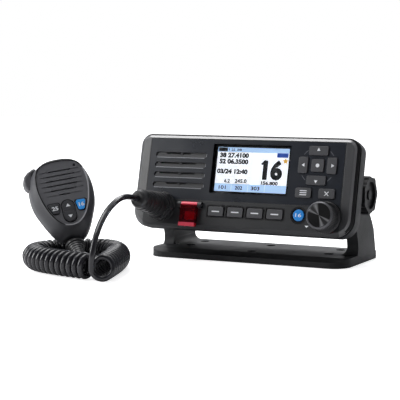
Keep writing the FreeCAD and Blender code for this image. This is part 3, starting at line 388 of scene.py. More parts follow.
black_powder = finish("Black powder coat", (0.022, 0.023, 0.025), grain=1400.0, gloss=(0.46, 0.56),
                      relief=0.30, Specular_IOR_Level=0.25)
bracket = dressed("bracket", "Trunnion_bracket", "bracket_and_handset", black_powder, 0.0006, 40.0)
painted_hole_shade = finish("Painted hole shade", (0.001, 0.001, 0.001), grain=900.0, gloss=(0.9, 0.95), relief=0.0,
                    Specular_IOR_Level=0.0)
bracket.data.materials.append(painted_hole_shade)
recess_r = 0.0041
base_top = 0.0073
screw_spots = ((-0.066, -0.0054), (-0.066, 0.0226), (0.066, -0.0054), (0.066, 0.0226),
               (0.0, -0.019), (0.0, 0.0226))
for x, y in screw_spots:
    clear_choice()
    bpy.ops.mesh.primitive_cylinder_add(vertices=40, radius=recess_r, depth=0.0080, location=(x, y, 0.0075))
    sinker = bpy.context.object
    choose(bracket)
    bore = bracket.modifiers.new("Screw recess", "BOOLEAN")
    bore.operation = "DIFFERENCE"
    bore.solver = "EXACT"
    bore.object = sinker
    bpy.ops.object.modifier_apply(modifier=bore.name)
    bpy.data.objects.remove(sinker)
# The walls of the screw recesses are painted black as shade, so the holes read dark.
for face in bracket.data.polygons:
    for x, y in screw_spots:
        away = math.hypot(face.center.x - x, face.center.y - y)
        if away < recess_r + 0.0003 and 0.0001 < face.center.z < base_top:
            face.material_index = len(bracket.data.materials) - 1


# ---- Bracket knobs ----
# Black moulded knobs with seven lobes and a dished face, each on a steel stud that screws into the
# casting's side and clamps the leg.
knob_plastic = finish("Knob plastic", (0.010, 0.010, 0.011), grain=800.0, gloss=(0.40, 0.50), relief=0.12,
                      Specular_IOR_Level=0.2)
dressed("bracket_knob_right", "Right_knob", "knob_right", knob_plastic, 0.0006)
dressed("bracket_knob_left", "Left_knob", "knob_left", knob_plastic, 0.0006)


# ---- Casting and rear ----
# The electronics sit in a finned aluminium casting, painted black, that carries the knobs' bosses.
# A flat cover closes its back and holds the antenna's coupling and two rubber glands.
cast_paint = finish("Casting paint", (0.028, 0.029, 0.031), grain=1100.0, gloss=(0.45, 0.60), relief=0.30)
bright_plate = finish("Bright plating", (0.72, 0.71, 0.68), grain=300.0, gloss=(0.14, 0.24),
                      relief=0.02, Metallic=1.0)
steel = finish("Stainless steel", (0.60, 0.60, 0.61), grain=600.0, gloss=(0.24, 0.34),
               relief=0.03, Metallic=1.0)
soft_rubber = finish("Soft rubber", (0.022, 0.022, 0.024), grain=700.0, gloss=(0.48, 0.60), relief=0.10)
board_green = finish("Circuit board", (0.02, 0.13, 0.06), grain=900.0, gloss=(0.30, 0.40), relief=0.03)
dressed("chassis", "Finned_casting", "radio", cast_paint, 0.0005)
dressed("rear_panel", "Rear_cover", "radio", cast_paint, 0.0004)
dressed("antenna_connector", "Antenna_coupling", "radio", bright_plate, 0.0003)
dressed("cable_glands", "Cable_glands", "radio", soft_rubber, 0.0004)
dressed("case_screws", "Case_screws", "radio", steel, 0.0002)
dressed("main_board", "Main_board", "radio", board_green, 0.0)
dressed("shield_can", "Shield_can", "radio", bright_plate, 0.0)
dressed("case_seal", "Case_seal", "radio", soft_rubber, 0.0)


# ---- Case ----
# The flange is two mouldings in dark grey, textured plastic with a seal between them, and a cap
# of the same plastic closes each end. The front one carries the keys, the display and the louvres.
case_grey = finish("Case plastic", (0.034, 0.035, 0.038), (0.028, 0.029, 0.032), grain=1300.0,
                   gloss=(0.30, 0.36), relief=0.50, Specular_IOR_Level=1.0)
case_dark = finish("Front case plastic", (0.014, 0.015, 0.017), (0.012, 0.013, 0.015), grain=1500.0,
                   gloss=(0.36, 0.44), relief=0.35)
side_chamfer_painted_light = finish("Side chamfer painted light", (0.13, 0.13, 0.135), (0.12, 0.12, 0.125), grain=1300.0,
                   gloss=(0.30, 0.38), relief=0.10)
chamfer_painted_shade = finish("Outer chamfer painted shade", (0.012, 0.012, 0.013), grain=1300.0, gloss=(0.50, 0.60),
                   relief=0.10, Specular_IOR_Level=0.12)
chamfer_painted_highlight = finish("Chamfer painted highlight", (0.16, 0.16, 0.165), grain=900.0, gloss=(0.16, 0.22),
                     relief=0.02, IOR=2.0)
front = [dressed("front_case", "Front_case", "radio", case_dark, 0.0003, 15.0),
         dressed("side_cap_left", "Left_cap", "radio", case_grey, 0.0003, 15.0),
         dressed("side_cap_right", "Right_cap", "radio", case_grey, 0.0003, 15.0)]
radio_place = (Matrix.Translation((0.0, -0.0037, 0.059)) @ Matrix.Rotation(math.radians(-13.89), 4, "X")
               @ Matrix.Translation((0.0, -0.038, -0.001)))
back_to_face = radio_place.inverted()
back_turned = radio_place.to_3x3().inverted()

# The chamfer is painted by which way its faces turn: along the top its inner step gets a painted highlight,
# and down the right side a lighter painted grey. Its outer step and the flange's right wall are painted
# dark as shade.
inner_step = 0.00115
for piece in front:
    for material in (chamfer_painted_highlight, side_chamfer_painted_light, chamfer_painted_shade):
        piece.data.materials.append(material)
    for face in piece.data.polygons:
        at = back_to_face @ face.center
        way = back_turned @ face.normal
        inner = at.y < inner_step
        if -0.001 < at.y < 0.0030 and -0.97 < way.y < -0.25:
            if way.z > 0.30 and at.z > 0.0360:
                face.material_index = 1 if inner else 3
            elif way.x > 0.25 and at.x > 0.0960:
                face.material_index = 2 if inner else 3
        elif way.x > 0.80 and at.x > 0.0960 and at.y < 0.0200:
            face.material_index = 3
housing_dark = finish("Rear housing plastic", (0.020, 0.021, 0.023), (0.016, 0.017, 0.019), grain=1300.0,
                      gloss=(0.45, 0.55), relief=0.35, Specular_IOR_Level=0.25)
dressed("rear_housing", "Rear_housing", "radio", housing_dark, 0.0005)
dark_gloss = finish("Front plate gloss", (0.010, 0.013, 0.020), grain=200.0, gloss=(0.27, 0.33),
                    relief=0.01)
dressed("front_plate", "Front_plate", "radio", dark_gloss, 0.0001)


# ---- Speaker louvres ----
# Four moulded blades slope back behind the plate's slots and shed water from the loudspeaker,
# which sits behind a black waterproof cloth.
def settle(piece, place):
    """Puts a piece that was made in its part's own axes where it belongs."""
    choose(piece)
    piece.matrix_world = place @ piece.matrix_world
    bpy.ops.object.transform_apply(location=True, rotation=True, scale=True)
    return piece


def slab(name, x, y, z, corner=0.0):
    """A flat block between two x, two y and two z, with its upright corners rounded."""
    clear_choice()
    middle = ((x[0] + x[1]) / 2, (y[0] + y[1]) / 2, (z[0] + z[1]) / 2)
    bpy.ops.mesh.primitive_cube_add(size=1.0, location=middle)
    piece = bpy.context.object
    piece.name = name
    piece.scale = (x[1] - x[0], y[1] - y[0], z[1] - z[0])
    bpy.ops.object.transform_apply(location=True, rotation=True, scale=True)
    if corner > 0.0:
        bpy.ops.object.mode_set(mode="EDIT")
        shape = bmesh.from_edit_mesh(piece.data)
        for f in shape.faces:
            f.select_set(False)
        for e in shape.edges:
            a, b = e.verts
            e.select_set(abs(a.co.y - b.co.y) > 0.5 * (y[1] - y[0]))
        bmesh.update_edit_mesh(piece.data)
        bpy.ops.mesh.bevel(offset=corner, segments=6, affect="EDGES")
        bpy.ops.object.mode_set(mode="OBJECT")
    bpy.ops.object.shade_smooth_by_angle(angle=math.radians(40))
    return piece


def joined(name, pieces):
    """Several pieces made one."""
    clear_choice()
    for p in pieces:
        p.select_set(True)
    bpy.context.view_layer.objects.active = pieces[0]
    if len(pieces) > 1:
        bpy.ops.object.join()
    whole = bpy.context.object
    whole.name = name
    whole.data.name = name
    return whole


blade_plastic = finish("Louvre plastic", (0.012, 0.013, 0.017), grain=800.0, gloss=(0.30, 0.38),
                       relief=0.05)
louvre_lip_painted_highlight = finish("Louvre lip painted highlight", (0.24, 0.25, 0.27), grain=800.0, gloss=(0.30, 0.38), relief=0.02)
blades = []
half_slot = 2.3
for slot in (23.45, 14.75, 5.95, -3.0):
    bottom = (slot - half_slot) / 1000
    top = (slot + half_slot) / 1000
    blade = slab("Blade", (-0.0840, -0.0361), (0.00015, 0.0011), (bottom + 0.0001, top - 0.0018), 0.0005)
    bpy.context.view_layer.objects.active = blade
    bpy.ops.object.mode_set(mode="EDIT")
    shape = bmesh.from_edit_mesh(blade.data)
    for v in shape.verts:
        if v.co.y < 0.0006 and v.co.z > (bottom + top) / 2 - 0.0012:
            v.co.y = 0.00105
            v.co.z = top - 0.0018
    bmesh.update_edit_mesh(blade.data)
    bpy.ops.object.mode_set(mode="OBJECT")
    tab = slab("Tab", (-0.0609, -0.0589), (0.0004, 0.00105), (top - 0.0020, top - 0.0003))
    for piece in (blade, tab):
        piece.data.materials.append(blade_plastic)
        blades.append(piece)
    # A thin light strip along each slot's lower edge and at its right end is a painted highlight where
    # light catches the edge.
    for x, z in (((-0.0835, -0.0375), (bottom - 0.00045, bottom + 0.00015)),
                 ((-0.0357, -0.0353), (bottom + 0.0010, top - 0.0012))):
        lip = slab("Lip", x, (-0.00008, 0.00012), z, 0.00008)
        lip.data.materials.append(louvre_lip_painted_highlight)
        blades.append(lip)
louvres = joined("Speaker_louvres", blades)
settle(louvres, radio_place)
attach(louvres, "radio")
black_cloth = finish("Speaker cloth", (0.012, 0.012, 0.012), grain=2500.0, gloss=(0.8, 0.9), relief=0.4)
dressed("speaker_membrane", "Speaker_cloth", "radio", black_cloth, 0.0)
dressed("speaker", "Loudspeaker", "radio", steel, 0.0)


# ---- Display ----
# A lit colour screen behind a flat glass window. The picture is plain numbers, boxes and bars, and a
# black border is printed round it on the glass.
def printed(name, sides, x, z, y, size, turn=0.0, thick=0.00005):
    """A thin flat figure printed on a face: a triangle, a dot or a star."""
    clear_choice()
    bpy.ops.mesh.primitive_circle_add(vertices=sides, radius=1.0, fill_type="NGON", location=(x, y, z),
                                      rotation=(math.pi / 2, turn, 0.0))
    piece = bpy.context.object
    piece.name = name
    piece.scale = (size[0], size[1], 1.0)
    bpy.ops.object.transform_apply(location=True, rotation=True, scale=True)
    bpy.ops.object.mode_set(mode="EDIT")
    bpy.ops.mesh.select_all(action="SELECT")
    bpy.ops.mesh.extrude_region_move(TRANSFORM_OT_translate={"value": (0.0, -thick, 0.0)})
    bpy.ops.mesh.select_all(action="SELECT")
    bpy.ops.mesh.normals_make_consistent(inside=False)
    bpy.ops.object.mode_set(mode="OBJECT")
    return piece


def figures(text, x, z, y, bold=0.0, thick=0.00005):
    """Plain figures as thin solid ink that fill a box between two x and two z."""
    clear_choice()
    bpy.ops.object.text_add(location=(0.0, 0.0, 0.0))
    piece = bpy.context.object
    piece.name = "Figures " + text
    piece.data.body = text
    piece.data.size = 0.01
    piece.data.offset = bold
    piece.data.extrude = thick / 2
    piece.data.resolution_u = 3
    bpy.ops.object.convert(target="MESH")
    piece = bpy.context.object
    low = [min(v.co[k] for v in piece.data.vertices) for k in range(2)]
    high = [max(v.co[k] for v in piece.data.vertices) for k in range(2)]
    wide = (x[1] - x[0]) / (high[0] - low[0])
    tall = (z[1] - z[0]) / (high[1] - low[1])
    piece.rotation_euler = (math.pi / 2, 0.0, 0.0)
    piece.scale = (wide, tall, 1.0)
    piece.location = (x[0] - low[0] * wide, y - thick / 2, z[0] - low[1] * tall)
    bpy.ops.object.transform_apply(location=True, rotation=True, scale=True)
    return piece


def lit(name, colour, strength=0.75):
    """A part of the picture that gives light."""
    return finish(name, colour, colour, grain=900.0, gloss=(0.5, 0.6), relief=0.0,
                  Emission_Color=(*colour, 1.0), Emission_Strength=strength)


def dyed(piece, material):
    """A piece with this material alone."""
    piece.data.materials.clear()
    piece.data.materials.append(material)
    return piece


screen_white = lit("Screen white", (0.86, 0.88, 0.92), 0.52)
screen_blue = lit("Screen pale blue", (0.40, 0.58, 0.84), 0.42)
screen_badge = lit("Screen dark blue", (0.008, 0.045, 0.27), 0.50)
screen_gold = lit("Screen gold", (0.55, 0.30, 0.02), 0.45)
screen_ink = finish("Screen ink", (0.004, 0.004, 0.006), grain=900.0, gloss=(0.4, 0.5), relief=0.0)
screen_line = lit("Screen line", (0.42, 0.46, 0.52), 0.25)
# This black is print on the display and marks, and painted shade round the keys, on their hollows' walls
# and at the handset face rim.
black_print_and_shade = finish("Black print and painted shade", (0.003, 0.003, 0.004), grain=900.0, gloss=(0.25, 0.35), relief=0.0)

# The picture is built of thin layers, each 0.04 mm nearer the eye than the one below it.
left, right, low, high = -0.0263, 0.0400, -0.0062, 0.0319
level = [0.00297 - 0.00004 * k for k in range(4)]
on_field = (level[2], level[1])
on_bars = (level[3], level[2])
rule = 0.00012
blocks = [("Housing", (-0.0305, 0.0436), (0.00298, 0.0072), (-0.0100, 0.0358), 0.0005, black_print_and_shade),
          ("Field", (left, right), (level[1], level[0] + 0.00002), (low, high), 0.0, screen_white),
          ("Top bar", (left, right), on_field, (high - 0.0041, high), 0.0, screen_blue),
          ("Low bar", (left, right), on_field, (low, low + 0.0066), 0.0, screen_blue),
          ("Badge", (0.0291, 0.0393), on_field, (0.0242, 0.0280), 0.0005, screen_badge)]
for x in (-0.0105, 0.0050, 0.0205):
    blocks.append(("Bar mark", (x - 0.0001, x + 0.0001), on_bars, (low, low + 0.0060), 0.0, screen_white))
blocks.append(("Pill", (-0.0257, -0.0172), on_bars, (0.0283, 0.0316), 0.0004, screen_ink))
for z in (0.0279, 0.0155, 0.0066, 0.0004):
    blocks.append(("Rule", (-0.0263, 0.0061), on_field, (z - rule, z + rule), 0.0, screen_line))
blocks.append(("Rule", (0.0061 - rule, 0.0061 + rule), on_field, (0.0004, 0.0279), 0.0, screen_line))
picture = [dyed(slab(name, x, y, z, corner), ink) for name, x, y, z, corner, ink in blocks]
for text, x, z, bold in (("38 27.4100", (-0.0241, 0.0032), (0.0228, 0.0272), 0.00060),
                         ("52 06.3500", (-0.0241, 0.0032), (0.0174, 0.0220), 0.00060),
                         ("03/24 12:40", (-0.0254, 0.0034), (0.0089, 0.0133), 0.00060),
                         ("6.2", (-0.0177, -0.0122), (0.0012, 0.0048), 0.00040),
                         ("245.0", (-0.0078, 0.0034), (0.0012, 0.0048), 0.00040),
                         ("1 25", (-0.0160, -0.0102), (0.0288, 0.0309), 0.00020),
                         ("88", (-0.0083, -0.0040), (0.0288, 0.0309), 0.00020),
                         ("156.800", (0.0166, 0.0322), (0.0004, 0.0037), 0.00050),
                         ("101", (-0.0222, -0.0155), (-0.0045, -0.0012), 0.00030),
                         ("202", (-0.0070, 0.0000), (-0.0045, -0.0012), 0.00030),
                         ("303", (0.0080, 0.0160), (-0.0045, -0.0012), 0.00030),
                         ("16", (0.0172, 0.0353), (0.0046, 0.0221), 0.00055)):
    picture.append(dyed(figures(text, x, z, level[2], bold), screen_ink))
flag = dyed(slab("Flag", (-0.0027, 0.0027), on_field, (-0.0009, 0.0009)), screen_ink)
tip = Matrix.Translation((0.0176, 0.0, 0.0196)) @ Matrix.Rotation(math.radians(-42.0), 4, "Y")
picture.append(settle(flag, tip))
star_x, star_z = 0.0372, 0.0212
star = printed("Star", 10, star_x, star_z, level[1], (0.0029, 0.0029))
for v in star.data.vertices:
    out = Vector((v.co.x - star_x, 0.0, v.co.z - star_z))
    spoke = round(math.degrees(math.atan2(out.x, out.z)) / 36.0) % 2
    if spoke:
        v.co.x = star_x + out.x * 0.45
        v.co.z = star_z + out.z * 0.45
picture.append(dyed(star, screen_gold))
display = joined("Display_screen", picture)
settle(display, radio_place)
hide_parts("display_module")
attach(display, "radio")

window_glass = finish("Window glass", (0.98, 0.99, 1.0), (0.98, 0.99, 1.0), grain=900.0, gloss=(0.0, 0.0),
                      relief=0.0, Transmission_Weight=1.0, IOR=1.08)
dressed("display_window", "Display_window", "radio", window_glass, 0.0002)


# ---- Front keys ----
# Rubber keys in dark grey stand in the plate's holes and in hollows of the lower band. They have white
# printed arrows, bars and figures, and one round key is blue.
key_rubber = finish("Key rubber", (0.052, 0.053, 0.058), (0.045, 0.046, 0.051), grain=1300.0,
                    gloss=(0.36, 0.46), relief=0.12)
white_print = finish("White print", (0.80, 0.82, 0.85), grain=900.0, gloss=(0.4, 0.5), relief=0.0)
blue_lens = finish("Blue lens", (0.030, 0.230, 0.640), (0.034, 0.260, 0.700), grain=400.0,
                   gloss=(0.18, 0.24), relief=0.02, Coat_Weight=0.5)
pad_x, pad_z = 0.0674, 0.0180
key_face = -0.00121
ink_face = (key_face - 0.00005, key_face)
legends = {
    "key_up": [printed("Arrow", 3, pad_x, 0.0311, key_face, (0.0017, 0.0017))],
    "key_down": [printed("Arrow", 3, pad_x, 0.0047, key_face, (0.0017, 0.0017), math.pi)],
    "key_left": [printed("Arrow", 3, pad_x - 0.0122, 0.0181, key_face, (0.0017, 0.0017), -math.pi / 2)],
    "key_right": [printed("Arrow", 3, pad_x + 0.0132, 0.0181, key_face, (0.0017, 0.0017), math.pi / 2)],
    "key_enter": [printed("Dot", 24, pad_x + 0.0002, pad_z, key_face, (0.0016, 0.0016))],
    "key_menu": [],
    "key_clear": [],
}
for k in range(3):
    z = -0.00515 + 0.0017 * (k - 1)
    line = slab("Line", (pad_x - 0.0132, pad_x - 0.0072), ink_face, (z - 0.00035, z + 0.00035))
    legends["key_menu"].append(line)
for turn in (-45.0, 45.0):
    stroke = slab("Stroke", (-0.0024, 0.0024), ink_face, (-0.00035, 0.00035))
    place = Matrix.Translation((pad_x + 0.0104, 0.0, -0.0052)) @ Matrix.Rotation(math.radians(turn), 4, "Y")
    legends["key_clear"].append(settle(stroke, place))
for name in legends:
    dressed(name, name.capitalize(), name, key_rubber, 0.0007, 35.0, 3)
    ink = joined(name.capitalize() + "_print", [dyed(piece, white_print) for piece in legends[name]])
    settle(ink, radio_place)
    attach(ink, name)

low_keys = [-0.0212 + 0.0182 * k for k in range(4)]
low_keys_z = -0.0243
low_ink = (-0.00066, -0.00061)
for k, x in enumerate(low_keys):
    name = "softkey_" + str(k + 1)
    dressed(name, name.capitalize(), name, key_rubber, 0.0006, 35.0, 3)
    ink = slab(name.capitalize() + "_bar", (x - 0.0035, x + 0.0035), low_ink, (-0.0249, -0.0239))
    dyed(ink, white_print)
    settle(ink, radio_place)
    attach(ink, name)


def painted_shade_ring(name, points, wide):
    """A thin black ring of painted shade on a face round a key, from the key's outline."""
    clear_choice()
    bpy.ops.mesh.primitive_circle_add(vertices=len(points), radius=0.01, fill_type="NOTHING")
    piece = bpy.context.object
    piece.name = name
    mid_x = sum(x for x, z in points) / len(points)
    mid_z = sum(z for x, z in points) / len(points)
    for v, (x, z) in zip(piece.data.vertices, points):
        v.co = (x, -0.00002, z)
    bpy.ops.object.mode_set(mode="EDIT")
    bpy.ops.mesh.select_all(action="SELECT")
    bpy.ops.mesh.extrude_edges_move()
    shape = bmesh.from_edit_mesh(piece.data)
    for v in shape.verts:
        if v.select:
            out = Vector((v.co.x - mid_x, 0.0, v.co.z - mid_z)).normalized() * wide
            v.co += out
    bmesh.update_edit_mesh(piece.data)
    bpy.ops.mesh.select_all(action="SELECT")
    bpy.ops.mesh.extrude_region_move(TRANSFORM_OT_translate={"value": (0.0, -0.00003, 0.0)})
    bpy.ops.mesh.select_all(action="SELECT")
    bpy.ops.mesh.normals_make_consistent(inside=False)
    bpy.ops.object.mode_set(mode="OBJECT")
    return dyed(piece, black_print_and_shade)


# Thin black rings of painted shade lie round the low keys and the blue key, at the edges of their hollows.
shade_surrounds = []
for x in low_keys:
    corner = []
    for turn in range(0, 360, 15):
        a = math.radians(turn)
        out_x = 0.0066 if math.cos(a) > 1e-6 else -0.0066
        out_z = 0.0036 if math.sin(a) > 1e-6 else -0.0036
        corner.append((x + out_x + 0.0016 * math.cos(a), low_keys_z + out_z + 0.0016 * math.sin(a)))
    shade_surrounds.append(painted_shade_ring("Shade_surround", corner, 0.0008))
blue_x, blue_z, blue_hole = 0.0548, -0.0240, 0.0064
round_blue = []
for turn in range(0, 360, 12):
    a = math.radians(turn)
    round_blue.append((blue_x + blue_hole * math.cos(a), blue_z + blue_hole * math.sin(a)))
shade_surrounds.append(painted_shade_ring("Shade_surround", round_blue, 0.0010))
key_shade_surrounds = joined("Key_shade_surrounds", shade_surrounds)
settle(key_shade_surrounds, radio_place)
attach(key_shade_surrounds, "radio")
dressed("channel_key", "Blue_key", "channel_key", blue_lens, 0.0006, 35.0, 3)
wedge = dyed(printed("Volume_wedge", 3, 0.0628, -0.0328, -0.00004, (0.0020, 0.0011), math.pi), white_print)
settle(wedge, radio_place)
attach(wedge, "radio")

# The walls of the hollows that these keys stand in are painted black as shade.
case = front[0]
case.data.materials.append(black_print_and_shade)
for face in case.data.polygons:
    at = back_to_face @ face.center
    by_key = min(abs(at.x - x) for x in low_keys) < 0.0084 and abs(at.z - low_keys_z) < 0.0052
    by_blue = math.hypot(at.x - blue_x, at.z - blue_z) < blue_hole
    if at.y > 0.0001 and (by_key or by_blue):
        face.material_index = len(case.data.materials) - 1
ink = dyed(figures("16", (0.0522, 0.0574), (-0.0255, -0.0225), -0.00061), white_print)
ink.name = "Blue_key_figures"
settle(ink, radio_place)
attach(ink, "channel_key")

dark_marks = []
for k in range(4):
    x = -0.0211 + 0.01823 * k
    mark = printed("Mark", 3, x, -0.0123, -0.00004, (0.0007, 0.0007), math.pi)
    dark_marks.append(dyed(mark, black_print_and_shade))
marks = joined("Screen_marks", dark_marks)
settle(marks, radio_place)
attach(marks, "radio")

# Four short arcs are printed on the plate between the arrow keys.
dim_print = finish("Dim print", (0.125, 0.130, 0.148), grain=900.0, gloss=(0.4, 0.5), relief=0.0)
pad_middle = Matrix.Translation((pad_x, 0.0, pad_z))
arc_long = 18.0
arcs = []
for middle in (43.0, 137.0, 223.0, 317.0):
    clear_choice()
    bpy.ops.mesh.primitive_plane_add(size=0.0005, location=(pad_x + 0.0157, -0.00006, pad_z),
                                     rotation=(math.pi / 2, 0.0, 0.0))
    arc = bpy.context.object
    bpy.ops.object.transform_apply(location=True, rotation=True, scale=True)
    bpy.ops.object.mode_set(mode="EDIT")
    bpy.ops.mesh.select_all(action="SELECT")
    bpy.ops.mesh.delete(type="ONLY_FACE")
    shape = bmesh.from_edit_mesh(arc.data)
    for v in shape.verts:
        v.select_set(v.co.z < pad_z)
    shape.select_flush_mode()
    bmesh.update_edit_mesh(arc.data)
    bpy.ops.mesh.select_all(action="INVERT")
    bpy.ops.mesh.delete(type="VERT")
    bpy.ops.mesh.select_all(action="SELECT")
    bpy.ops.mesh.spin(steps=10, angle=math.radians(arc_long), center=(pad_x, 0.0, pad_z),
                      axis=(0.0, 1.0, 0.0))
    bpy.ops.object.mode_set(mode="OBJECT")
    turn = Matrix.Rotation(math.radians(-middle + arc_long / 2), 4, "Y")
    settle(arc, pad_middle @ turn @ pad_middle.inverted())
    arcs.append(dyed(arc, dim_print))
pad_arcs = joined("Pad_arcs", arcs)
settle(pad_arcs, radio_place)
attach(pad_arcs, "radio")

mat_rubber = finish("Keypad rubber", (0.16, 0.16, 0.17), grain=700.0, gloss=(0.5, 0.6), relief=0.05)
dressed("keypad_mat", "Keypad_mat", "radio", mat_rubber, 0.0)
dressed("front_board", "Front_board", "radio", board_green, 0.0)


# ---- Dial ----
# A ribbed rubber skirt and a turned metal cap on a steel spindle, which turns in an encoder and is
# pushed to switch.
dial_x, dial_z = 0.0788, -0.0250
ribs = 60
rib_high = 0.00045
rib_end = -0.0147
skirt_rubber = finish("Dial rubber", (0.016, 0.016, 0.018), grain=900.0, gloss=(0.30, 0.38), relief=0.06)
dial_rim_painted_light = finish("Dial rim painted light", (0.12, 0.12, 0.13), grain=400.0, gloss=(0.30, 0.36), relief=0.02,
                   Metallic=0.6)
profile = [(-0.0012, 0.0030), (-0.0012, 0.0131), (-0.0015, 0.0133), (-0.0024, 0.0133), (-0.0030, 0.0127),
           (-0.0036, 0.0126), (-0.0132, 0.0121), (-0.0146, 0.0117), (-0.0153, 0.0110), (-0.0158, 0.0103),
           (-0.0158, 0.0099), (-0.0148, 0.0099), (-0.0148, 0.0030), (-0.0012, 0.0030)]
round_about = len(profile) - 1
outline = bpy.data.meshes.new("Dial skirt")
outline.from_pydata([(dial_x + r, y, dial_z) for y, r in profile[:-1]],
                    [(k, (k + 1) % round_about) for k in range(round_about)], [])
skirt = bpy.data.objects.new("Dial_skirt", outline)
bpy.context.collection.objects.link(skirt)
choose(skirt)
bpy.ops.object.mode_set(mode="EDIT")
bpy.ops.mesh.select_all(action="SELECT")
bpy.ops.mesh.spin(steps=ribs * 4, angle=2 * math.pi, center=(dial_x, 0.0, dial_z), axis=(0.0, 1.0, 0.0))
bpy.ops.mesh.select_all(action="SELECT")
bpy.ops.mesh.remove_doubles(threshold=0.000005)
bpy.ops.mesh.normals_make_consistent(inside=False)
bpy.ops.object.mode_set(mode="OBJECT")
for v in skirt.data.vertices:
    across = Vector((v.co.x - dial_x, 0.0, v.co.z - dial_z))
    if rib_end < v.co.y < -0.0034 and across.length > 0.0110:
        step = round(math.atan2(across.z, across.x) / (2 * math.pi) * ribs * 4) % 4
        if step in (2, 3):
            v.co -= across.normalized() * rib_high
bpy.ops.object.shade_smooth_by_angle(angle=math.radians(30))
dyed(skirt, skirt_rubber)
skirt.data.materials.append(dial_rim_painted_light)
# The skirt's front rim, outside the cap, is painted a lighter, part-metallic grey as painted light on the
# rim.
for face in skirt.data.polygons:
    if face.center.y < rib_end and math.hypot(face.center.x - dial_x, face.center.z - dial_z) > 0.0100:
        face.material_index = 1
settle(skirt, radio_place)
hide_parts("dial_skirt")
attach(skirt, "dial")

# The cap is turned, so light lies on it in rays about its hub; these rays are a painted sheen in its
# colour, by bearing round the hub: four bright ones on black.
turned_metal_painted_sheen = finish("Turned metal painted sheen", (0.10, 0.10, 0.11), grain=200.0, gloss=(0.26, 0.30),
                      relief=0.0, Metallic=0.7)
nodes = turned_metal_painted_sheen.node_tree.nodes
links = turned_metal_painted_sheen.node_tree.links
place = nodes.new("ShaderNodeTexCoord")
from_hub = sum_node(nodes, "SUBTRACT", "ShaderNodeVectorMath")
from_hub.inputs[1].default_value = radio_place @ Vector((dial_x, 0.0, dial_z))
along = sum_node(nodes, "DOT_PRODUCT", "ShaderNodeVectorMath")
along.inputs[1].default_value = (1.0, 0.0, 0.0)
upward = sum_node(nodes, "DOT_PRODUCT", "ShaderNodeVectorMath")
upward.inputs[1].default_value = radio_place.to_3x3() @ Vector((0.0, 0.0, 1.0))
bearing = sum_node(nodes, "ARCTAN2")
sweep = range_node(nodes, (-math.pi, math.pi))
painted_sheen = nodes.new("ShaderNodeValToRGB")
stops = [(0.00, 0.020), (0.27, 0.015), (0.315, 0.36), (0.350, 0.05), (0.400, 0.04), (0.430, 0.30),
         (0.455, 0.02), (0.77, 0.015), (0.820, 0.32), (0.865, 0.06), (0.905, 0.05), (0.935, 0.30),
         (0.965, 0.02)]
for k, (at, tone) in enumerate(stops):
    stop = painted_sheen.color_ramp.elements[k] if k < 2 else painted_sheen.color_ramp.elements.new(at)
    stop.position = at
    stop.color = (tone, tone, tone * 1.04, 1.0)
links.new(place.outputs["Object"], from_hub.inputs[0])
links.new(from_hub.outputs["Vector"], along.inputs[0])
links.new(from_hub.outputs["Vector"], upward.inputs[0])
links.new(upward.outputs["Value"], bearing.inputs[0])
links.new(along.outputs["Value"], bearing.inputs[1])
links.new(bearing.outputs["Value"], sweep.inputs["Value"])
links.new(sweep.outputs["Result"], painted_sheen.inputs["Fac"])
links.new(painted_sheen.outputs["Color"], nodes["Principled BSDF"].inputs["Base Color"])
dressed("dial_cap", "Dial_cap", "dial", turned_metal_painted_sheen, 0.0004, 35.0, 3)
dressed("dial_shaft", "Dial_spindle", "dial_spindle", steel, 0.0001)
dressed("dial_encoder", "Dial_encoder", "radio", soft_rubber, 0.0)


# ---- Distress key and its cover ----
# A red key under a sprung cover of clear red plastic, which turns on a steel pin between two lugs.
# The cover's roll at the pin and its lip at the foot are thick, and they are painted an opaque bright red
# as a highlight where light catches them.
clear_red = finish("Clear red plastic", (0.60, 0.04, 0.07), (0.56, 0.03, 0.06), grain=300.0,
                   gloss=(0.02, 0.03), relief=0.0, Transmission_Weight=0.93, IOR=1.20)
red_painted_highlight = finish("Red plastic painted highlight", (0.86, 0.10, 0.15), (0.82, 0.08, 0.13), grain=300.0,
                    gloss=(0.08, 0.12), relief=0.0)
red_key = finish("Red key", (0.95, 0.16, 0.20), grain=900.0, gloss=(0.3, 0.4), relief=0.05)
cover = dressed("distress_cover", "Distress_cover", "distress_cover", clear_red, 0.0004)
cover.data.materials.append(red_painted_highlight)
# The roll and the lip get the painted highlight.
for face in cover.data.polygons:
    at = back_to_face @ face.center
    if at.z > -0.0200 or at.z < -0.0355:
        face.material_index = 1
dressed("distress_hinge_pin", "Hinge_pin", "radio", steel, 0.0001)
dressed("distress_key", "Distress_key", "distress_key", red_key, 0.0005)


# ---- Socket and plug ----
# A round socket in the front takes the cord's plug, which a six-sided nut covered in rubber holds.
# Behind the nut a stepped rubber boot guards the cord.
dressed("handset_socket", "Handset_socket", "radio", soft_rubber, 0.0004)
plug_rubber = finish("Plug rubber", (0.026, 0.026, 0.028), grain=900.0, gloss=(0.26, 0.34), relief=0.08)
nut_rubber = finish("Nut rubber", (0.044, 0.044, 0.047), grain=900.0, gloss=(0.22, 0.28), relief=0.04)
dressed("plug_nut", "Plug_nut", "radio", nut_rubber, 0.0005, 35.0, 2)
dressed("plug_boot", "Plug_boot", "radio", plug_rubber, 0.0003)


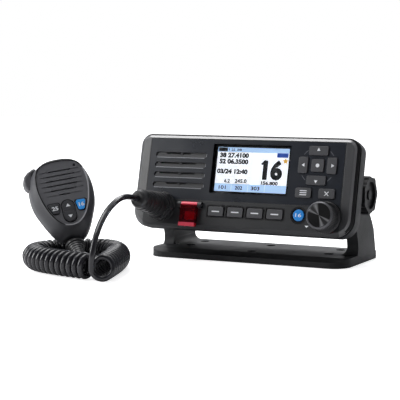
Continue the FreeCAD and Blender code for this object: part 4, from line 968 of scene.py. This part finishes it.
# ---- Handset ----
# Two shells of dark grey plastic, screwed together from the back, with a slotted face plate, four keys,
# a rubber bar on its left side to talk, and a ribbed sleeve where the cord leaves.
handset_grey = finish("Handset plastic", (0.052, 0.053, 0.059), (0.045, 0.046, 0.052), grain=1500.0,
                      gloss=(0.40, 0.48), relief=0.25)
dressed("handset_front_shell", "Handset_front_shell", "bracket_and_handset", handset_grey, 0.0003, 30.0)
dressed("handset_rear_shell", "Handset_rear_shell", "bracket_and_handset", handset_grey, 0.0003, 30.0)
face_grey = finish("Handset face plastic", (0.118, 0.119, 0.128), (0.106, 0.107, 0.116), grain=1500.0,
                   gloss=(0.40, 0.48), relief=0.25)
dressed("handset_face_plate", "Handset_face_plate", "bracket_and_handset", face_grey, 0.0002, 30.0)
dressed("handset_power_key", "Handset_power_key", "handset_power_key", key_rubber, 0.0003)
bright_lens = finish("Bright blue lens", (0.045, 0.330, 0.880), (0.050, 0.360, 0.920), grain=400.0,
                     gloss=(0.24, 0.30), relief=0.02)
dressed("handset_channel_key", "Handset_channel_key", "handset_channel_key", bright_lens, 0.0003)
dressed("handset_up_key", "Handset_up_key", "handset_up_key", key_rubber, 0.0003)
dressed("handset_down_key", "Handset_down_key", "handset_down_key", key_rubber, 0.0003)
dressed("handset_board", "Handset_board", "bracket_and_handset", board_green, 0.0)
dressed("handset_speaker", "Handset_speaker", "bracket_and_handset", steel, 0.0)
dressed("handset_screws", "Handset_screws", "bracket_and_handset", steel, 0.0001)
dressed("hanger_button", "Hanger_button", "bracket_and_handset", steel, 0.0003)
talk_rubber = finish("Talk button rubber", (0.088, 0.088, 0.096), grain=1100.0, gloss=(0.42, 0.50),
                     relief=0.15)
dressed("push_to_talk_button", "Push_to_talk_button", "push_to_talk", talk_rubber, 0.0030, 50.0, 6)
dressed("strain_relief", "Strain_relief", "bracket_and_handset", plug_rubber, 0.0003)

handset_place = (Matrix.Translation((-0.0932, -0.1426, 0.0028))
                 @ Matrix.Rotation(math.radians(40.0), 4, "Z")
                 @ Matrix.Rotation(math.radians(-25.0), 4, "X")
                 @ Matrix.Rotation(math.radians(-10.1), 4, "Y"))
for body, z, turn in (("handset_up_key", 0.0548, 0.0), ("handset_down_key", 0.0458, math.pi)):
    arrow = printed(body.capitalize() + "_arrow", 3, 0.0, z, -0.00101, (0.0022, 0.0017), turn)
    settle(dyed(arrow, white_print), handset_place)
    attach(arrow, body)


# ---- Handset face rim ----
# A moulded bead runs round the face plate's edge, made as a thin tube. It is painted black as shade on the
# left and at the top, and it gets a painted highlight in light grey on the right and at the foot, where
# light falls on it.
rim_r = 0.0006
face_middle_z = 0.068
face_rim = [(0.0386, 0.0), (0.0394, 0.0050), (0.0416, 0.0085), (0.0455, 0.0120), (0.0490, 0.0142),
            (0.0570, 0.0178), (0.0680, 0.0204), (0.0760, 0.0210), (0.0840, 0.0202), (0.0892, 0.0178),
            (0.0923, 0.0145), (0.0940, 0.0090), (0.0945, 0.0)]
round_it = face_rim + [(z, -x) for z, x in face_rim[-2:0:-1]]
rim_line = bpy.data.curves.new("Face rim", "CURVE")
rim_line.dimensions = "3D"
spline = rim_line.splines.new("NURBS")
spline.points.add(len(round_it) - 1)
for at, (z, x) in zip(spline.points, round_it):
    out = Vector((x, 0.0, z - face_middle_z)).normalized() * rim_r
    at.co = (x + out.x, 0.0, z + out.z, 1.0)
spline.use_cyclic_u = True
spline.order_u = 3
rim_line.resolution_u = 6
rim_line.bevel_depth = rim_r
rim_line.bevel_resolution = 3
rim = bpy.data.objects.new("Handset_face_rim", rim_line)
bpy.context.collection.objects.link(rim)
choose(rim)
bpy.ops.object.convert(target="MESH")
rim = bpy.context.object
bpy.ops.object.shade_smooth()
dyed(rim, black_print_and_shade)
bead_painted_highlight = finish("Face bead painted highlight", (0.34, 0.34, 0.36), grain=900.0, gloss=(0.22, 0.28), relief=0.0)
rim.data.materials.append(bead_painted_highlight)
# Faces on the right and at the foot get the painted highlight; the rest stays black as painted shade.
for face in rim.data.polygons:
    if face.center.x > -0.006 and face.center.z < 0.0860:
        face.material_index = 1
settle(rim, handset_place)
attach(rim, "bracket_and_handset")


# ---- Handset key shade rings and figures ----
# A thin black ring of painted shade lies round each key's hole in the face plate: one oval about the two
# arrow keys, and one round each side key. The side keys have plain white figures.
shade_ring_wide = 0.0008
side_x, side_z = 0.0114, 0.0539
oval_r = 0.0053
oval = []
for k in range(32):
    turn = 2 * math.pi * k / 32
    shift = 0.0041 if math.sin(turn) >= 0.0 else -0.0041
    oval.append((oval_r * math.cos(turn), 0.0503 + shift + oval_r * math.sin(turn)))
shade_rings = [painted_shade_ring("Key_shade_ring", oval, shade_ring_wide)]
corners = [(0.0043, 0.0043), (0.0047, 0.0035), (0.0044, 0.0018), (0.0020, -0.0036), (0.0012, -0.0044),
           (-0.0010, -0.0046), (-0.0024, -0.0042), (-0.0034, -0.0030), (-0.0046, 0.0032),
           (-0.0041, 0.0043), (-0.0030, 0.0046), (0.0032, 0.0046)]
for side in (-1, 1):
    shade_rings.append(painted_shade_ring("Key_shade_ring", [(side * (side_x + u), side_z + w) for u, w in corners], shade_ring_wide))
for text, x, bold, name, body in (
        ("25", (-0.0137, -0.0085), 0.0003, "Handset_power_figures", "handset_power_key"),
        ("16", (0.0090, 0.0136), 0.0003, "Handset_channel_figures", "handset_channel_key")):
    ink = dyed(figures(text, x, (0.0523, 0.0557), -0.00101, bold), white_print)
    ink.name = name
    settle(ink, handset_place)
    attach(ink, body)
key_shade_rings = joined("Handset_key_shade_rings", shade_rings)
settle(key_shade_rings, handset_place)
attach(key_shade_rings, "bracket_and_handset")
